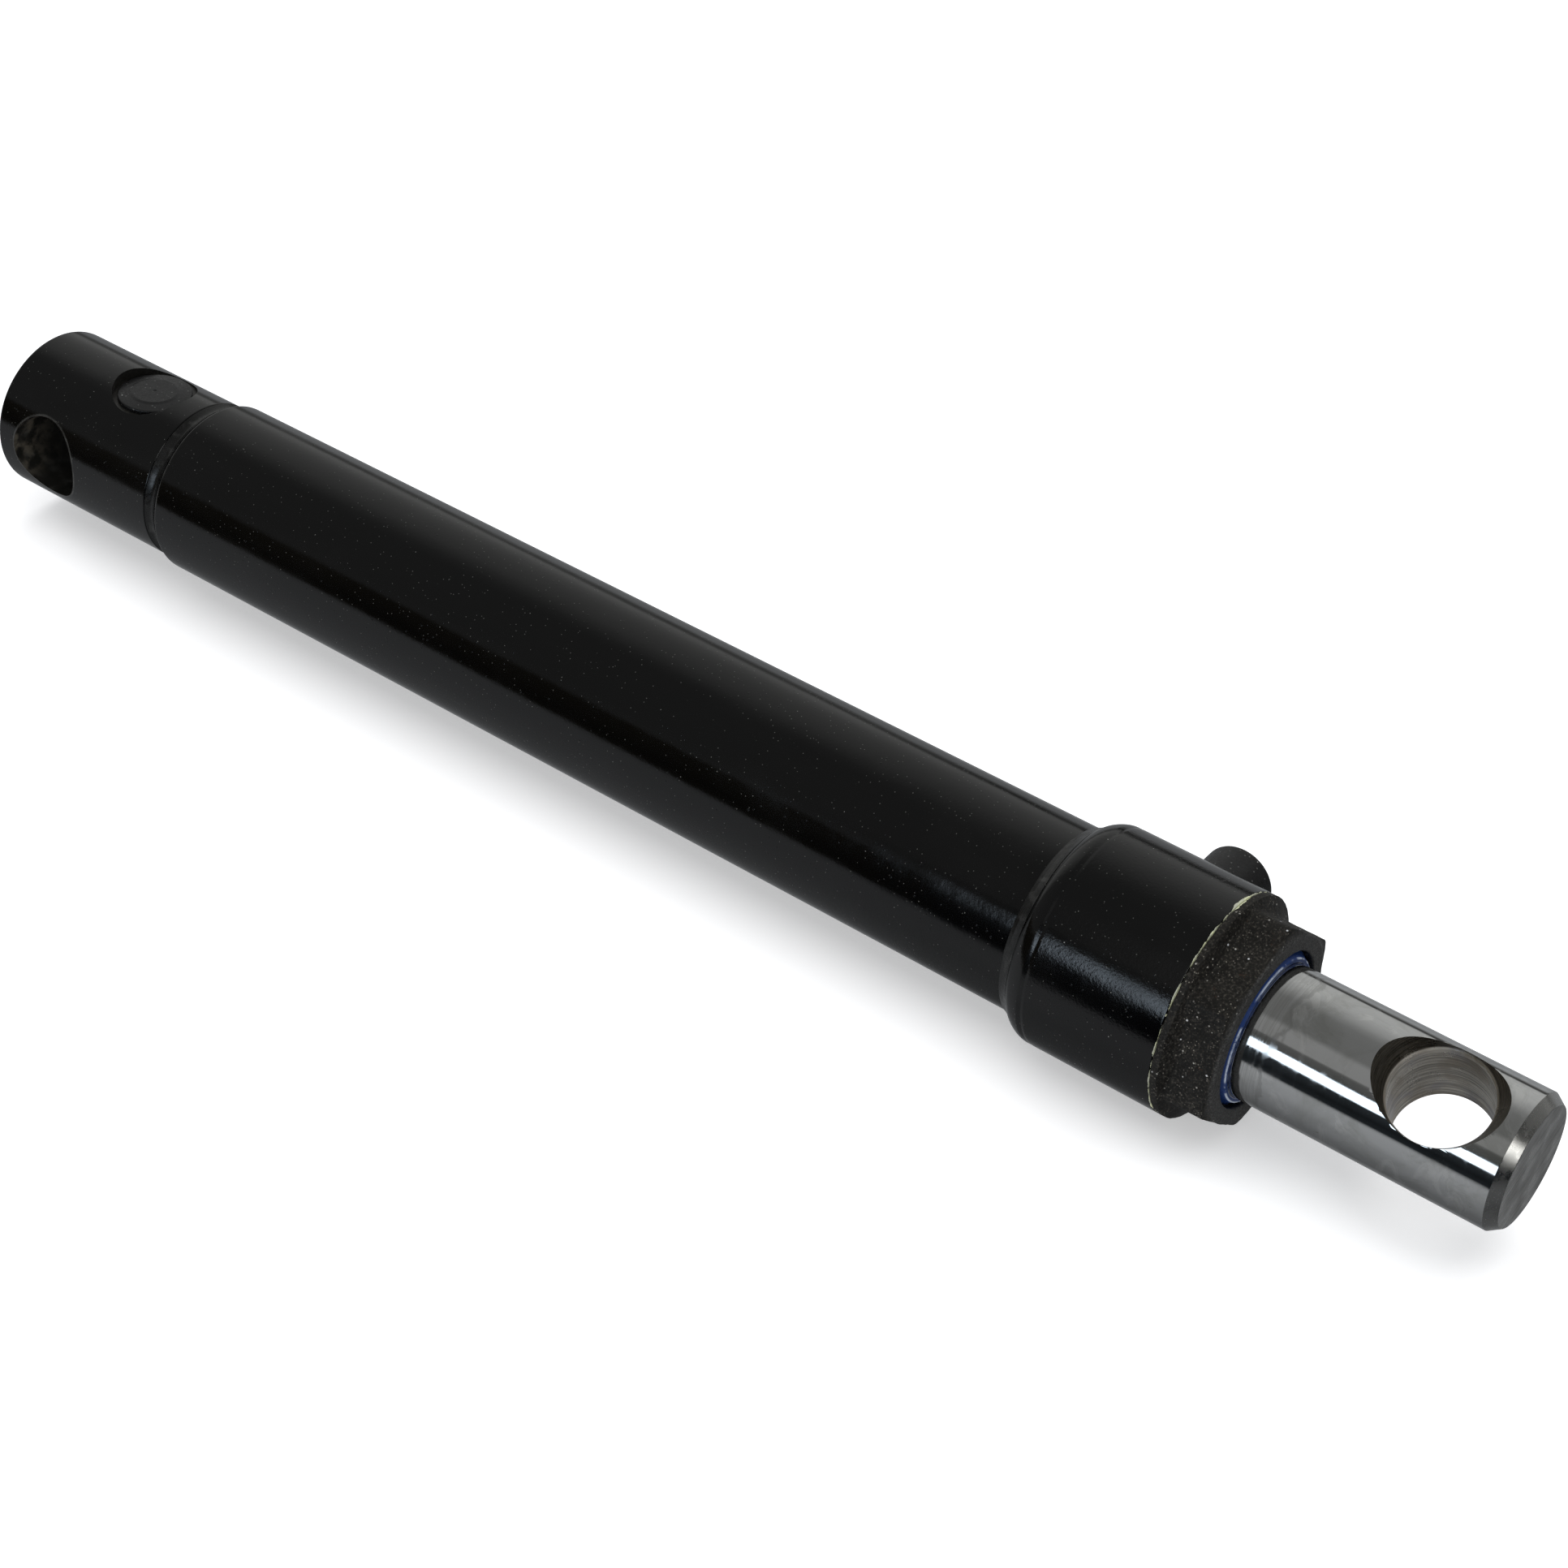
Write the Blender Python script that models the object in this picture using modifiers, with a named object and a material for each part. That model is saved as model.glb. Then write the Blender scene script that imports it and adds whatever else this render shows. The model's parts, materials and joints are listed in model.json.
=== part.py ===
"""Double-acting hydraulic cylinder with a cross-drilled pin eye at each end.

Units are metres. +X runs along the cylinder axis towards the rod eye, +Z is up through
the base port, and the origin is the centre of the base end face. The rod is modelled
fully retracted, with its eye turned ROD_CLOCK away from the base eye's square position.
"""
import math

import bpy
from mathutils import Matrix

# ---- driving dimensions -------------------------------------------------------------
INCH = 0.0254
MM = 0.001

ROD_R = 0.75 * INCH              # 1-1/2 in chromed rod
BORE_R = 0.875 * INCH            # 1-3/4 in honed bore
TUBE_R = 1.0625 * INCH           # 2-1/8 in barrel tube
EYE_R = 1.0 * INCH               # 2 in base bar
BELL_R = 1.25 * INCH             # 2-1/2 in head bell
STROKE = 10.0 * INCH

CLOSED_LENGTH = 520.0 * MM       # base end face to rod end face, retracted
ROD_EXPOSED = 74.8 * MM          # gland face to rod end face, retracted
GLAND_STANDOFF = 15.7 * MM       # gland face in front of the bell's open end
BELL_LENGTH = 46.3 * MM
BAR_LENGTH = 64.6 * MM           # full-diameter length of the base bar
TUBE_START = 70.5 * MM
SPIGOT_END = 78.0 * MM           # inner face of the base bar, inside the tube

BASE_PIN_X = 20.4 * MM           # base pin hole, along Y
BASE_PIN_R = 13.2 * MM
ROD_PIN_INSET = 24.8 * MM        # rod pin hole centre from the rod end face
ROD_PIN_R = 13.4 * MM
ROD_PIN_FLARE_START = 12.0 * MM  # height of the countersink's small end above the axis
ROD_PIN_FLARE_SLOPE = 0.59       # radius gained per unit of height, 60 degrees included
ROD_CLOCK = math.radians(25.0)   # rod eye turned from vertical towards -Y

BASE_PORT_X = 44.6 * MM          # base port, opening towards +Z
HEAD_PORT_X = 407.6 * MM         # head port, opening towards +Y
PORT_THREAD_R = 7.1 * MM         # 9/16 in port thread, modelled plain
BOSS_SPIGOT_R = 6.6 * MM         # the head port boss's foot, in the bell
SPOTFACE_R = 12.9 * MM
SPOTFACE_Z = 21.6 * MM
HEX_CORNER_ANGLE = math.radians(51.5)   # gland hex corner, from +Z towards -Y
HEX_ACROSS_FLATS = 53.6 * MM

GAP = 0.3 * MM                   # between neighbouring solids that touch in real life
RUNNING = 0.05 * MM              # radial clearance of sliding fits
SEGMENTS = 40                    # facets of rods, bores and visible rings
HIDDEN_SEGMENTS = 28             # facets of seals and rings that nothing shows
PORT_SEGMENTS = 32               # facets of the ports, their plug, boss and cap
PASSAGE_SEGMENTS = 24            # facets of the oil passage in the base bar
MERGE = 0.00001

# ---- stations along the axis --------------------------------------------------------
ROD_END_X = CLOSED_LENGTH
GLAND_FACE_X = ROD_END_X - ROD_EXPOSED
BELL_END_X = GLAND_FACE_X - GLAND_STANDOFF
BELL_START_X = BELL_END_X - BELL_LENGTH
TUBE_IN_BELL = 12.8 * MM         # how far the tube reaches into the bell
TUBE_END_X = BELL_START_X + TUBE_IN_BELL
GLAND_NOSE = 14.0 * MM           # how far the gland's nose reaches into the bell
GLAND_NOSE_X = BELL_END_X - GLAND_NOSE
BASE_CUSHION = 0.4 * MM          # between the base bar and the piston nut, retracted
PISTON_NUT_X = SPIGOT_END + BASE_CUSHION
PISTON_NUT_PITCH = 13.6 * MM     # piston nut's rear face to piston's rear face
PISTON_X = PISTON_NUT_X + PISTON_NUT_PITCH
PISTON_LENGTH = 24.7 * MM
ROD_SHOULDER_X = PISTON_X + PISTON_LENGTH + GAP
STOP_TUBE_END_X = GLAND_NOSE_X - GAP - STROKE

# ---- materials: colour, roughness, metallic -----------------------------------------
MATERIALS = {
    "gloss_black_paint": ((0.012, 0.012, 0.013), 0.16, 0.0),
    "cast_iron_black": ((0.035, 0.032, 0.028), 0.62, 0.5),
    "hard_chrome": ((0.62, 0.63, 0.64), 0.10, 1.0),
    "machined_steel": ((0.42, 0.42, 0.43), 0.32, 1.0),
    "black_plastic": ((0.02, 0.02, 0.021), 0.45, 0.0),
    "blue_polyurethane": ((0.015, 0.05, 0.22), 0.35, 0.0),
    "nitrile_rubber": ((0.015, 0.015, 0.016), 0.55, 0.0),
    "filled_ptfe": ((0.20, 0.11, 0.05), 0.5, 0.0),
    "nylon_wear": ((0.05, 0.16, 0.12), 0.45, 0.0),
}


def clear_scene():
    for old in list(bpy.data.objects):
        bpy.data.objects.remove(old, do_unlink=True)


def new_collection(name):
    collection = bpy.data.collections.new(name)
    bpy.context.scene.collection.children.link(collection)
    return collection


def make_material(name):
    colour, roughness, metallic = MATERIALS[name]
    material = bpy.data.materials.new(name)
    material.use_nodes = True
    shader = material.node_tree.nodes["Principled BSDF"]
    shader.inputs["Base Color"].default_value = (*colour, 1.0)
    shader.inputs["Roughness"].default_value = roughness
    shader.inputs["Metallic"].default_value = metallic
    return material


def smooth(mesh):
    mesh.shade_smooth()
    mesh.set_sharp_from_angle(angle=math.radians(30))


# ---- placing pieces -----------------------------------------------------------------
ALONG_X = Matrix.Rotation(math.radians(90), 4, "Y")    # local Z becomes world X
ALONG_Y = Matrix.Rotation(math.radians(-90), 4, "X")   # local Z becomes world Y
ALONG_Z = Matrix.Identity(4)


def station(x, turn=ALONG_X):
    """A placement whose local Z axis lies along the turn, starting on the cylinder axis at x."""
    return Matrix.Translation((x, 0.0, 0.0)) @ turn


def add_object(name, mesh, place, material=None):
    piece = bpy.data.objects.new(name, mesh)
    if material is None:
        piece.display_type = "WIRE"
        piece.hide_render = True
        cutters.objects.link(piece)
    else:
        mesh.materials.append(materials[material])
        parts.objects.link(piece)
    piece.matrix_world = place
    return piece


def moved_to(collection, piece):
    for home in list(piece.users_collection):
        home.objects.unlink(piece)
    collection.objects.link(piece)


def hexagon(name, across_corners, depth, place, collection):
    """A plain hexagonal prism, centred on its place."""
    bpy.ops.mesh.primitive_cylinder_add(vertices=6, radius=across_corners / 2, depth=depth)
    prism = bpy.context.object
    prism.name = name
    prism.data.name = name
    moved_to(collection, prism)
    prism.matrix_world = place
    return prism


def turned(name, profile, place, material=None, segments=SEGMENTS):
    """A turned piece. profile is (height, radius) pairs: down the outside, back up the inside.

    A profile whose two ends have radius 0 closes on the axis; any other is a closed ring.
    """
    mesh = bpy.data.meshes.new(name)
    points = [(radius, 0.0, height) for height, radius in profile]
    edges = [(i, i + 1) for i in range(len(points) - 1)]
    if profile[0][1] > 0.0:
        edges.append((len(points) - 1, 0))
    mesh.from_pydata(points, edges, [])
    piece = add_object(name, mesh, place, material)
    screw = piece.modifiers.new("turn", "SCREW")
    screw.steps = segments
    screw.render_steps = segments
    screw.use_merge_vertices = True
    screw.merge_threshold = MERGE
    screw.use_smooth_shade = True
    return piece


def cylinder(name, radius, low, high, place, material=None, segments=SEGMENTS):
    """A plain cylinder from height low to high along the placement's local Z."""
    profile = [(high, 0.0), (high, radius), (low, radius), (low, 0.0)]
    return turned(name, profile, place, material, segments)


def o_ring(name, x, major, minor, material="nitrile_rubber"):
    """A round-section ring on the cylinder axis, centred at x."""
    bpy.ops.mesh.primitive_torus_add(
        major_segments=HIDDEN_SEGMENTS, minor_segments=6, major_radius=major, minor_radius=minor)
    ring = bpy.context.object
    ring.name = name
    ring.data.name = name
    ring.data.materials.append(materials[material])
    smooth(ring.data)
    moved_to(parts, ring)
    ring.matrix_world = station(x)
    return ring


def plain_ring(name, x, width, inner, outer, material, segments=HIDDEN_SEGMENTS):
    """A rectangular-section ring from x to x + width."""
    profile = [(width, outer), (0.0, outer), (0.0, inner), (width, inner)]
    return turned(name, profile, station(x), material, segments)


def boolean(piece, cutter, operation="DIFFERENCE"):
    step = piece.modifiers.new(operation.lower(), "BOOLEAN")
    step.operation = operation
    step.object = cutter
    step.solver = "EXACT"


def hang_on(parent, *children):
    for child in children:
        child.parent = parent
        child.matrix_parent_inverse = parent.matrix_world.inverted()


def arc(centre_x, centre_r, radius, start, end, steps):
    """(x, r) points on an arc; angles in degrees, 0 along +X and 90 away from the axis."""
    points = []
    for i in range(steps + 1):
        angle = math.radians(start + (end - start) * i / steps)
        points.append((centre_x + radius * math.cos(angle), centre_r + radius * math.sin(angle)))
    return points


# ---- barrel: base bar, tube, bell and their welds -------------------------------------
def build_base_eye():
    edge = 1.2 * MM              # rounded rim of the end face
    spigot_edge = 0.8 * MM
    bevel = 2.0 * MM             # length of the weld preparation
    spigot_r = BORE_R - GAP
    profile = [(SPIGOT_END, 0.0), (SPIGOT_END, spigot_r - spigot_edge), (SPIGOT_END - spigot_edge, spigot_r),
               (BAR_LENGTH + bevel, spigot_r), (BAR_LENGTH, EYE_R)]
    profile += arc(edge, EYE_R - edge, edge, 90, 180, 3)
    profile += [(0.0, 0.0)]
    eye = turned("base_eye", profile, station(0.0), "gloss_black_paint")

    lip = 0.5 * MM               # broken edge at the pin hole's mouths
    half = EYE_R + 2.0 * MM      # the cutter reaches past the bar
    flare = BASE_PIN_R + lip + (half - EYE_R)
    mouth = EYE_R - lip
    pin_profile = [(half, 0.0), (half, flare), (mouth, BASE_PIN_R), (-mouth, BASE_PIN_R),
                   (-half, flare), (-half, 0.0)]
    boolean(eye, turned("cut_base_pin", pin_profile, station(BASE_PIN_X, ALONG_Y)))

    above = EYE_R + 5.0 * MM
    port_floor = -1.0 * MM
    drill_point = port_floor - 3.5 * MM
    chamfer = 0.8 * MM           # at the thread's mouth
    port_profile = [(above, 0.0), (above, SPOTFACE_R), (SPOTFACE_Z, SPOTFACE_R),
                    (SPOTFACE_Z, PORT_THREAD_R + chamfer), (SPOTFACE_Z - chamfer, PORT_THREAD_R),
                    (port_floor, PORT_THREAD_R), (drill_point, 0.0)]
    boolean(eye, turned("cut_base_port", port_profile, station(BASE_PORT_X, ALONG_Z)))
    passage_r = 4.0 * MM
    passage_end = SPIGOT_END + 6.6 * MM - BASE_PORT_X    # past the bar's inner face
    boolean(eye, cylinder("cut_base_passage", passage_r, 0.0, passage_end, station(BASE_PORT_X),
                          segments=PASSAGE_SEGMENTS))


def build_base_weld():
    """A concave groove weld between the base bar's bevel and the tube's end."""
    start = BAR_LENGTH + GAP
    end = TUBE_START - GAP
    root_r = BORE_R + 0.1 * MM
    root_x = start + 1.9 * MM
    bar_side_r = EYE_R - 0.1 * MM
    rise = TUBE_R - EYE_R - 0.5 * MM     # from the bar's side up to the tube's side
    hollow = 1.0 * MM                    # depth of the concave face
    steps = 4
    crown = []
    for i in range(steps + 1):
        t = i / steps
        height = bar_side_r + rise * (1 - t) ** 2 - hollow * math.sin(math.pi * t)
        crown.append((end + (start - end) * t, height))
    profile = crown + [(root_x, root_r), (end, root_r)]
    turned("base_weld", profile, station(0.0), "gloss_black_paint")


def build_barrel_tube():
    outer_chamfer = (1.0 * MM, 0.8 * MM)     # along and across, at the base end
    inner_chamfer = (1.5 * MM, 1.0 * MM)     # lead-in for the seals, at the head end
    profile = [(TUBE_END_X, TUBE_R), (TUBE_START + outer_chamfer[0], TUBE_R),
               (TUBE_START, TUBE_R - outer_chamfer[1]), (TUBE_START, BORE_R),
               (TUBE_END_X - inner_chamfer[0], BORE_R), (TUBE_END_X, BORE_R + inner_chamfer[1])]
    turned("barrel_tube", profile, station(0.0), "gloss_black_paint")


def build_head_bell():
    rim = 0.5 * MM
    shoulder = 7.2 * MM          # radius of the rounded shoulder, and its centre
    shoulder_x = BELL_START_X + 6.6 * MM
    seat_r = TUBE_R + GAP
    seat_end = TUBE_END_X + GAP
    chamber_r = 24.5 * MM
    thread_r = 25.7 * MM
    thread_start = GLAND_NOSE_X - 0.6 * MM
    counterbore_r = 28.1 * MM
    counterbore_x = BELL_END_X - 3.3 * MM
    profile = [(BELL_END_X, BELL_R - rim), (BELL_END_X - rim, BELL_R)]
    profile += arc(shoulder_x, BELL_R - shoulder, shoulder, 90, 155, 6)
    profile += [(BELL_START_X, seat_r), (seat_end, seat_r), (seat_end, chamber_r),
                (thread_start, chamber_r), (thread_start, thread_r),
                (counterbore_x, thread_r), (counterbore_x, counterbore_r), (BELL_END_X, counterbore_r)]
    bell = turned("head_bell", profile, station(0.0), "gloss_black_paint")
    socket = cylinder("cut_head_port", BOSS_SPIGOT_R + GAP, chamber_r / 2, 2 * BELL_R - chamber_r,
                      station(HEAD_PORT_X, ALONG_Y), segments=PORT_SEGMENTS)
    boolean(bell, socket)


def build_bell_weld():
    """A small fillet bead round the tube, against the bell's rounded shoulder."""
    foot = TUBE_R + GAP
    start = BELL_START_X - 2.4 * MM
    end = BELL_START_X - GAP
    middle = end - 0.9 * MM
    end_rise = 1.0 * MM
    middle_rise = 0.7 * MM
    toe_rise = 0.15 * MM
    profile = [(end, foot + end_rise), (middle, foot + middle_rise), (start, foot + toe_rise),
               (start, foot), (end, foot)]
    turned("bell_weld", profile, station(0.0), "gloss_black_paint")


# ---- ports ----------------------------------------------------------------------------
def build_head_port():
    place = station(HEAD_PORT_X, ALONG_Y)
    seat = BELL_R + GAP
    top = 44.7 * MM
    boss_r = 9.0 * MM
    boss_edge = 0.6 * MM
    spigot_end = 26.0 * MM
    passage_r = 4.5 * MM
    thread_r = 6.4 * MM
    thread_floor = 32.5 * MM
    drill_end = 31.0 * MM
    boss_profile = [(top, boss_r - boss_edge), (top - boss_edge, boss_r), (seat, boss_r),
                    (seat, BOSS_SPIGOT_R), (spigot_end, BOSS_SPIGOT_R), (spigot_end, passage_r),
                    (drill_end, passage_r), (thread_floor, thread_r), (top, thread_r)]
    turned("head_port_boss", boss_profile, place, "gloss_black_paint", PORT_SEGMENTS)

    inner = boss_r + GAP
    crown_edge = 0.1 * MM
    weld_top = 35.4 * MM
    throat = (33.4 * MM, 10.2 * MM)
    knee = (32.2 * MM, 11.6 * MM)
    toe = (30.0 * MM, 12.8 * MM)
    below = 28.0 * MM            # inside the bell, where the weld is trimmed to the bell's round
    weld_profile = [(weld_top, inner + crown_edge), throat, knee, toe,
                    (below, toe[1]), (below, inner), (weld_top, inner)]
    weld = turned("head_port_weld", weld_profile, place, "gloss_black_paint", PORT_SEGMENTS)
    reach = 20.0 * MM
    boolean(weld, cylinder("cut_bell_envelope", seat, -reach, reach, station(HEAD_PORT_X)))

    cap_r = 10.35 * MM
    crown = 49.0 * MM
    skirt = 36.6 * MM
    edge = 1.4 * MM
    dome = 0.3 * MM
    cap_profile = [(crown, 0.0), (crown - dome, cap_r - edge), (crown - edge, cap_r),
                   (skirt, cap_r), (skirt, inner), (top + GAP, inner), (top + GAP, 0.0)]
    turned("head_port_cap", cap_profile, place, "black_plastic", PORT_SEGMENTS)


def build_base_port_plug():
    flange_r = 11.35 * MM
    seat = SPOTFACE_Z + GAP
    rim = seat + 1.4 * MM
    shank_r = PORT_THREAD_R - GAP
    shank_end = seat - 10.0 * MM
    tip = 1.0 * MM
    raised = rim + 0.55 * MM     # the disc in the middle of the flange
    disc_r = 7.2 * MM
    step = (0.1 * MM, 0.5 * MM)  # up and out, where the disc meets the flange
    edge = (0.5 * MM, 0.6 * MM)  # down and in, round the flange
    dimple = 0.3 * MM
    dimple_r = 0.8 * MM
    profile = [(raised - dimple, 0.0), (raised, dimple_r), (raised, disc_r),
               (rim + step[0], disc_r + step[1]), (rim, flange_r - edge[1]), (rim - edge[0], flange_r),
               (seat, flange_r), (seat, shank_r), (shank_end + tip, shank_r), (shank_end, shank_r - tip),
               (shank_end, 0.0)]
    turned("base_port_plug", profile, station(BASE_PORT_X, ALONG_Z), "black_plastic", PORT_SEGMENTS)


# ---- gland: hex nut, guide ring, seals and wiper --------------------------------------
LAND_R = ROD_R + 0.4 * MM
GUIDE_X = GLAND_NOSE_X + 1.5 * MM
GUIDE_WIDTH = 6.5 * MM
SEAL_X = GUIDE_X + GUIDE_WIDTH + 2.0 * MM
SEAL_WIDTH = 7.0 * MM
SEAL_GROOVE_R = 23.6 * MM
GUIDE_GROOVE_R = 21.6 * MM
WIPER_SEAT_X = GLAND_FACE_X - 6.5 * MM
WIPER_SEAT_R = 22.35 * MM


def build_gland_nut():
    flange_x = BELL_END_X + GAP
    flange_end = flange_x + 2.2 * MM
    body_r = 26.0 * MM           # round core that the hexagon is joined to
    core_end = flange_x + 7.0 * MM
    fillet = 3.0 * MM
    fillet_x = flange_x + 5.6 * MM
    fillet_r = 30.2 * MM
    register_r = 25.0 * MM
    thread_r = 25.4 * MM
    thread_end = BELL_END_X - 3.5 * MM
    run_out = 0.4 * MM
    nose_edge = 1.0 * MM
    profile = [(core_end, 0.0), (core_end, body_r), (fillet_x, fillet_r - fillet)]
    profile += arc(fillet_x, fillet_r, fillet, 270, 180, 3)[1:]
    profile += [(flange_end, BELL_R), (flange_x, BELL_R), (flange_x, register_r), (thread_end, register_r),
                (thread_end - run_out, thread_r), (GLAND_NOSE_X + nose_edge, thread_r),
                (GLAND_NOSE_X, thread_r - nose_edge), (GLAND_NOSE_X, 0.0)]
    nut = turned("gland_nut", profile, station(0.0), "cast_iron_black")

    hex_start = flange_x + 2.0 * MM
    middle = (GLAND_FACE_X + hex_start) / 2
    # a 6-sided cylinder's first corner is at local +Y, which these turns take to the corner angle
    to_top = ALONG_X @ Matrix.Rotation(math.radians(90), 4, "Z")
    corner = Matrix.Rotation(HEX_CORNER_ANGLE, 4, "X") @ to_top
    prism = hexagon("join_hex", HEX_ACROSS_FLATS * 2 / math.sqrt(3), GLAND_FACE_X - hex_start,
                    Matrix.Translation((middle, 0.0, 0.0)) @ corner, cutters)
    prism.display_type = "WIRE"
    prism.hide_render = True
    rounding = prism.modifiers.new("corners", "BEVEL")
    rounding.width = 1.6 * MM
    rounding.segments = 2
    rounding.limit_method = "ANGLE"
    rounding.angle_limit = math.radians(40)

    # the hexagon's front is turned to two cones; the radius beyond its corners leaves them whole
    face_r = 24.6 * MM
    shallow_end = (GLAND_FACE_X - 1.3 * MM, 29.2 * MM)
    beyond = (GLAND_FACE_X - 3.0 * MM, 32.5 * MM)
    hex_back = flange_x + 1.0 * MM
    envelope_profile = [(GLAND_FACE_X, 0.0), (GLAND_FACE_X, face_r), shallow_end, beyond,
                        (hex_back, beyond[1]), (hex_back, 0.0)]
    envelope = turned("join_hex_envelope", envelope_profile, station(0.0))
    boolean(prism, envelope, "INTERSECT")
    boolean(nut, prism, "UNION")

    past = 5.0 * MM              # the cutter reaches past both ends
    bore_profile = [(GLAND_FACE_X + past, 0.0), (GLAND_FACE_X + past, WIPER_SEAT_R),
                    (WIPER_SEAT_X, WIPER_SEAT_R), (WIPER_SEAT_X, LAND_R),
                    (SEAL_X + SEAL_WIDTH, LAND_R), (SEAL_X + SEAL_WIDTH, SEAL_GROOVE_R),
                    (SEAL_X, SEAL_GROOVE_R), (SEAL_X, LAND_R),
                    (GUIDE_X + GUIDE_WIDTH, LAND_R), (GUIDE_X + GUIDE_WIDTH, GUIDE_GROOVE_R),
                    (GUIDE_X, GUIDE_GROOVE_R), (GUIDE_X, LAND_R),
                    (GLAND_NOSE_X - past, LAND_R), (GLAND_NOSE_X - past, 0.0)]
    boolean(nut, turned("cut_gland_bore", bore_profile, station(0.0)))


def build_gland_seals():
    rod_clear = ROD_R / math.cos(math.pi / SEGMENTS) + RUNNING
    plain_ring("rod_guide_ring", GUIDE_X + GAP, GUIDE_WIDTH - 2 * GAP, rod_clear, GUIDE_GROOVE_R - GAP,
               "nylon_wear", SEGMENTS)

    # lipped seal: the open side, with its groove for the expander ring, faces the pressure
    width = 4.7 * MM
    outer = SEAL_GROOVE_R - GAP
    taper = 0.3 * MM
    groove_out = 22.4 * MM
    groove_in = 20.4 * MM
    depth = 2.6 * MM
    lip_r = ROD_R + 0.25 * MM
    seal_profile = [(width, outer - taper), (0.0, outer), (0.0, groove_out), (depth, groove_out),
                    (depth, groove_in), (0.0, groove_in), (0.0, lip_r), (width, lip_r + taper / 2)]
    turned("rod_seal", seal_profile, station(SEAL_X + GAP), "blue_polyurethane", HIDDEN_SEGMENTS)
    expander_r = 0.7 * MM
    expander_x = SEAL_X + GAP + 1.1 * MM
    o_ring("rod_seal_expander", expander_x, (groove_out + groove_in) / 2, expander_r)
    plain_ring("rod_backup_ring", SEAL_X + width + 2 * GAP, SEAL_WIDTH - width - 3 * GAP,
               rod_clear + 0.2 * MM, outer, "filled_ptfe")
    static_x = BELL_END_X - 1.5 * MM
    static_major = 26.55 * MM
    static_r = 1.2 * MM
    o_ring("gland_o_ring", static_x, static_major, static_r)

    # the wiper: a heel that fills its seat, and a lip that thins out towards the rod
    heel = 4.3 * MM
    lip = 6.2 * MM
    web = 0.5 * MM
    contact = 0.3 * MM           # length of the lip's edge
    lip_outer_r = rod_clear + 0.7 * MM
    throat_r = rod_clear + 1.6 * MM
    heel_r = rod_clear + 0.9 * MM
    relief_r = rod_clear + 0.6 * MM
    outer_r = WIPER_SEAT_R - GAP
    wiper_profile = [(lip, lip_outer_r), (heel + web, throat_r), (heel, outer_r), (GAP, outer_r),
                     (GAP, heel_r), (heel - web, relief_r), (lip - contact, rod_clear), (lip, rod_clear)]
    turned("rod_wiper", wiper_profile, station(WIPER_SEAT_X), "blue_polyurethane")


# ---- rod and piston ---------------------------------------------------------------------
SPIGOT_R = 12.7 * MM
PISTON_R = BORE_R - GAP
PISTON_NUT_ACROSS_CORNERS = 38.8 * MM


def build_rod(frame):
    tail = PISTON_NUT_X + 1.0 * MM
    tail_edge = 1.2 * MM
    chamfer_x = 3.1 * MM
    chamfer_r = 2.15 * MM
    profile = [(ROD_END_X, 0.0), (ROD_END_X, ROD_R - chamfer_r), (ROD_END_X - chamfer_x, ROD_R),
               (ROD_SHOULDER_X, ROD_R), (ROD_SHOULDER_X, SPIGOT_R), (tail + tail_edge, SPIGOT_R),
               (tail, SPIGOT_R - tail_edge), (tail, 0.0)]
    rod = turned("rod", profile, station(0.0), "hard_chrome")
    reach = ROD_R + 3.0 * MM     # the cutter reaches past the rod
    flare = ROD_PIN_R + (reach - ROD_PIN_FLARE_START) * ROD_PIN_FLARE_SLOPE
    hole_profile = [(reach, 0.0), (reach, flare), (ROD_PIN_FLARE_START, ROD_PIN_R),
                    (-ROD_PIN_FLARE_START, ROD_PIN_R), (-reach, flare), (-reach, 0.0)]
    hole = turned("cut_rod_pin", hole_profile, station(ROD_END_X - ROD_PIN_INSET, ALONG_Z))
    boolean(rod, hole)
    hang_on(frame, rod, hole)


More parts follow.
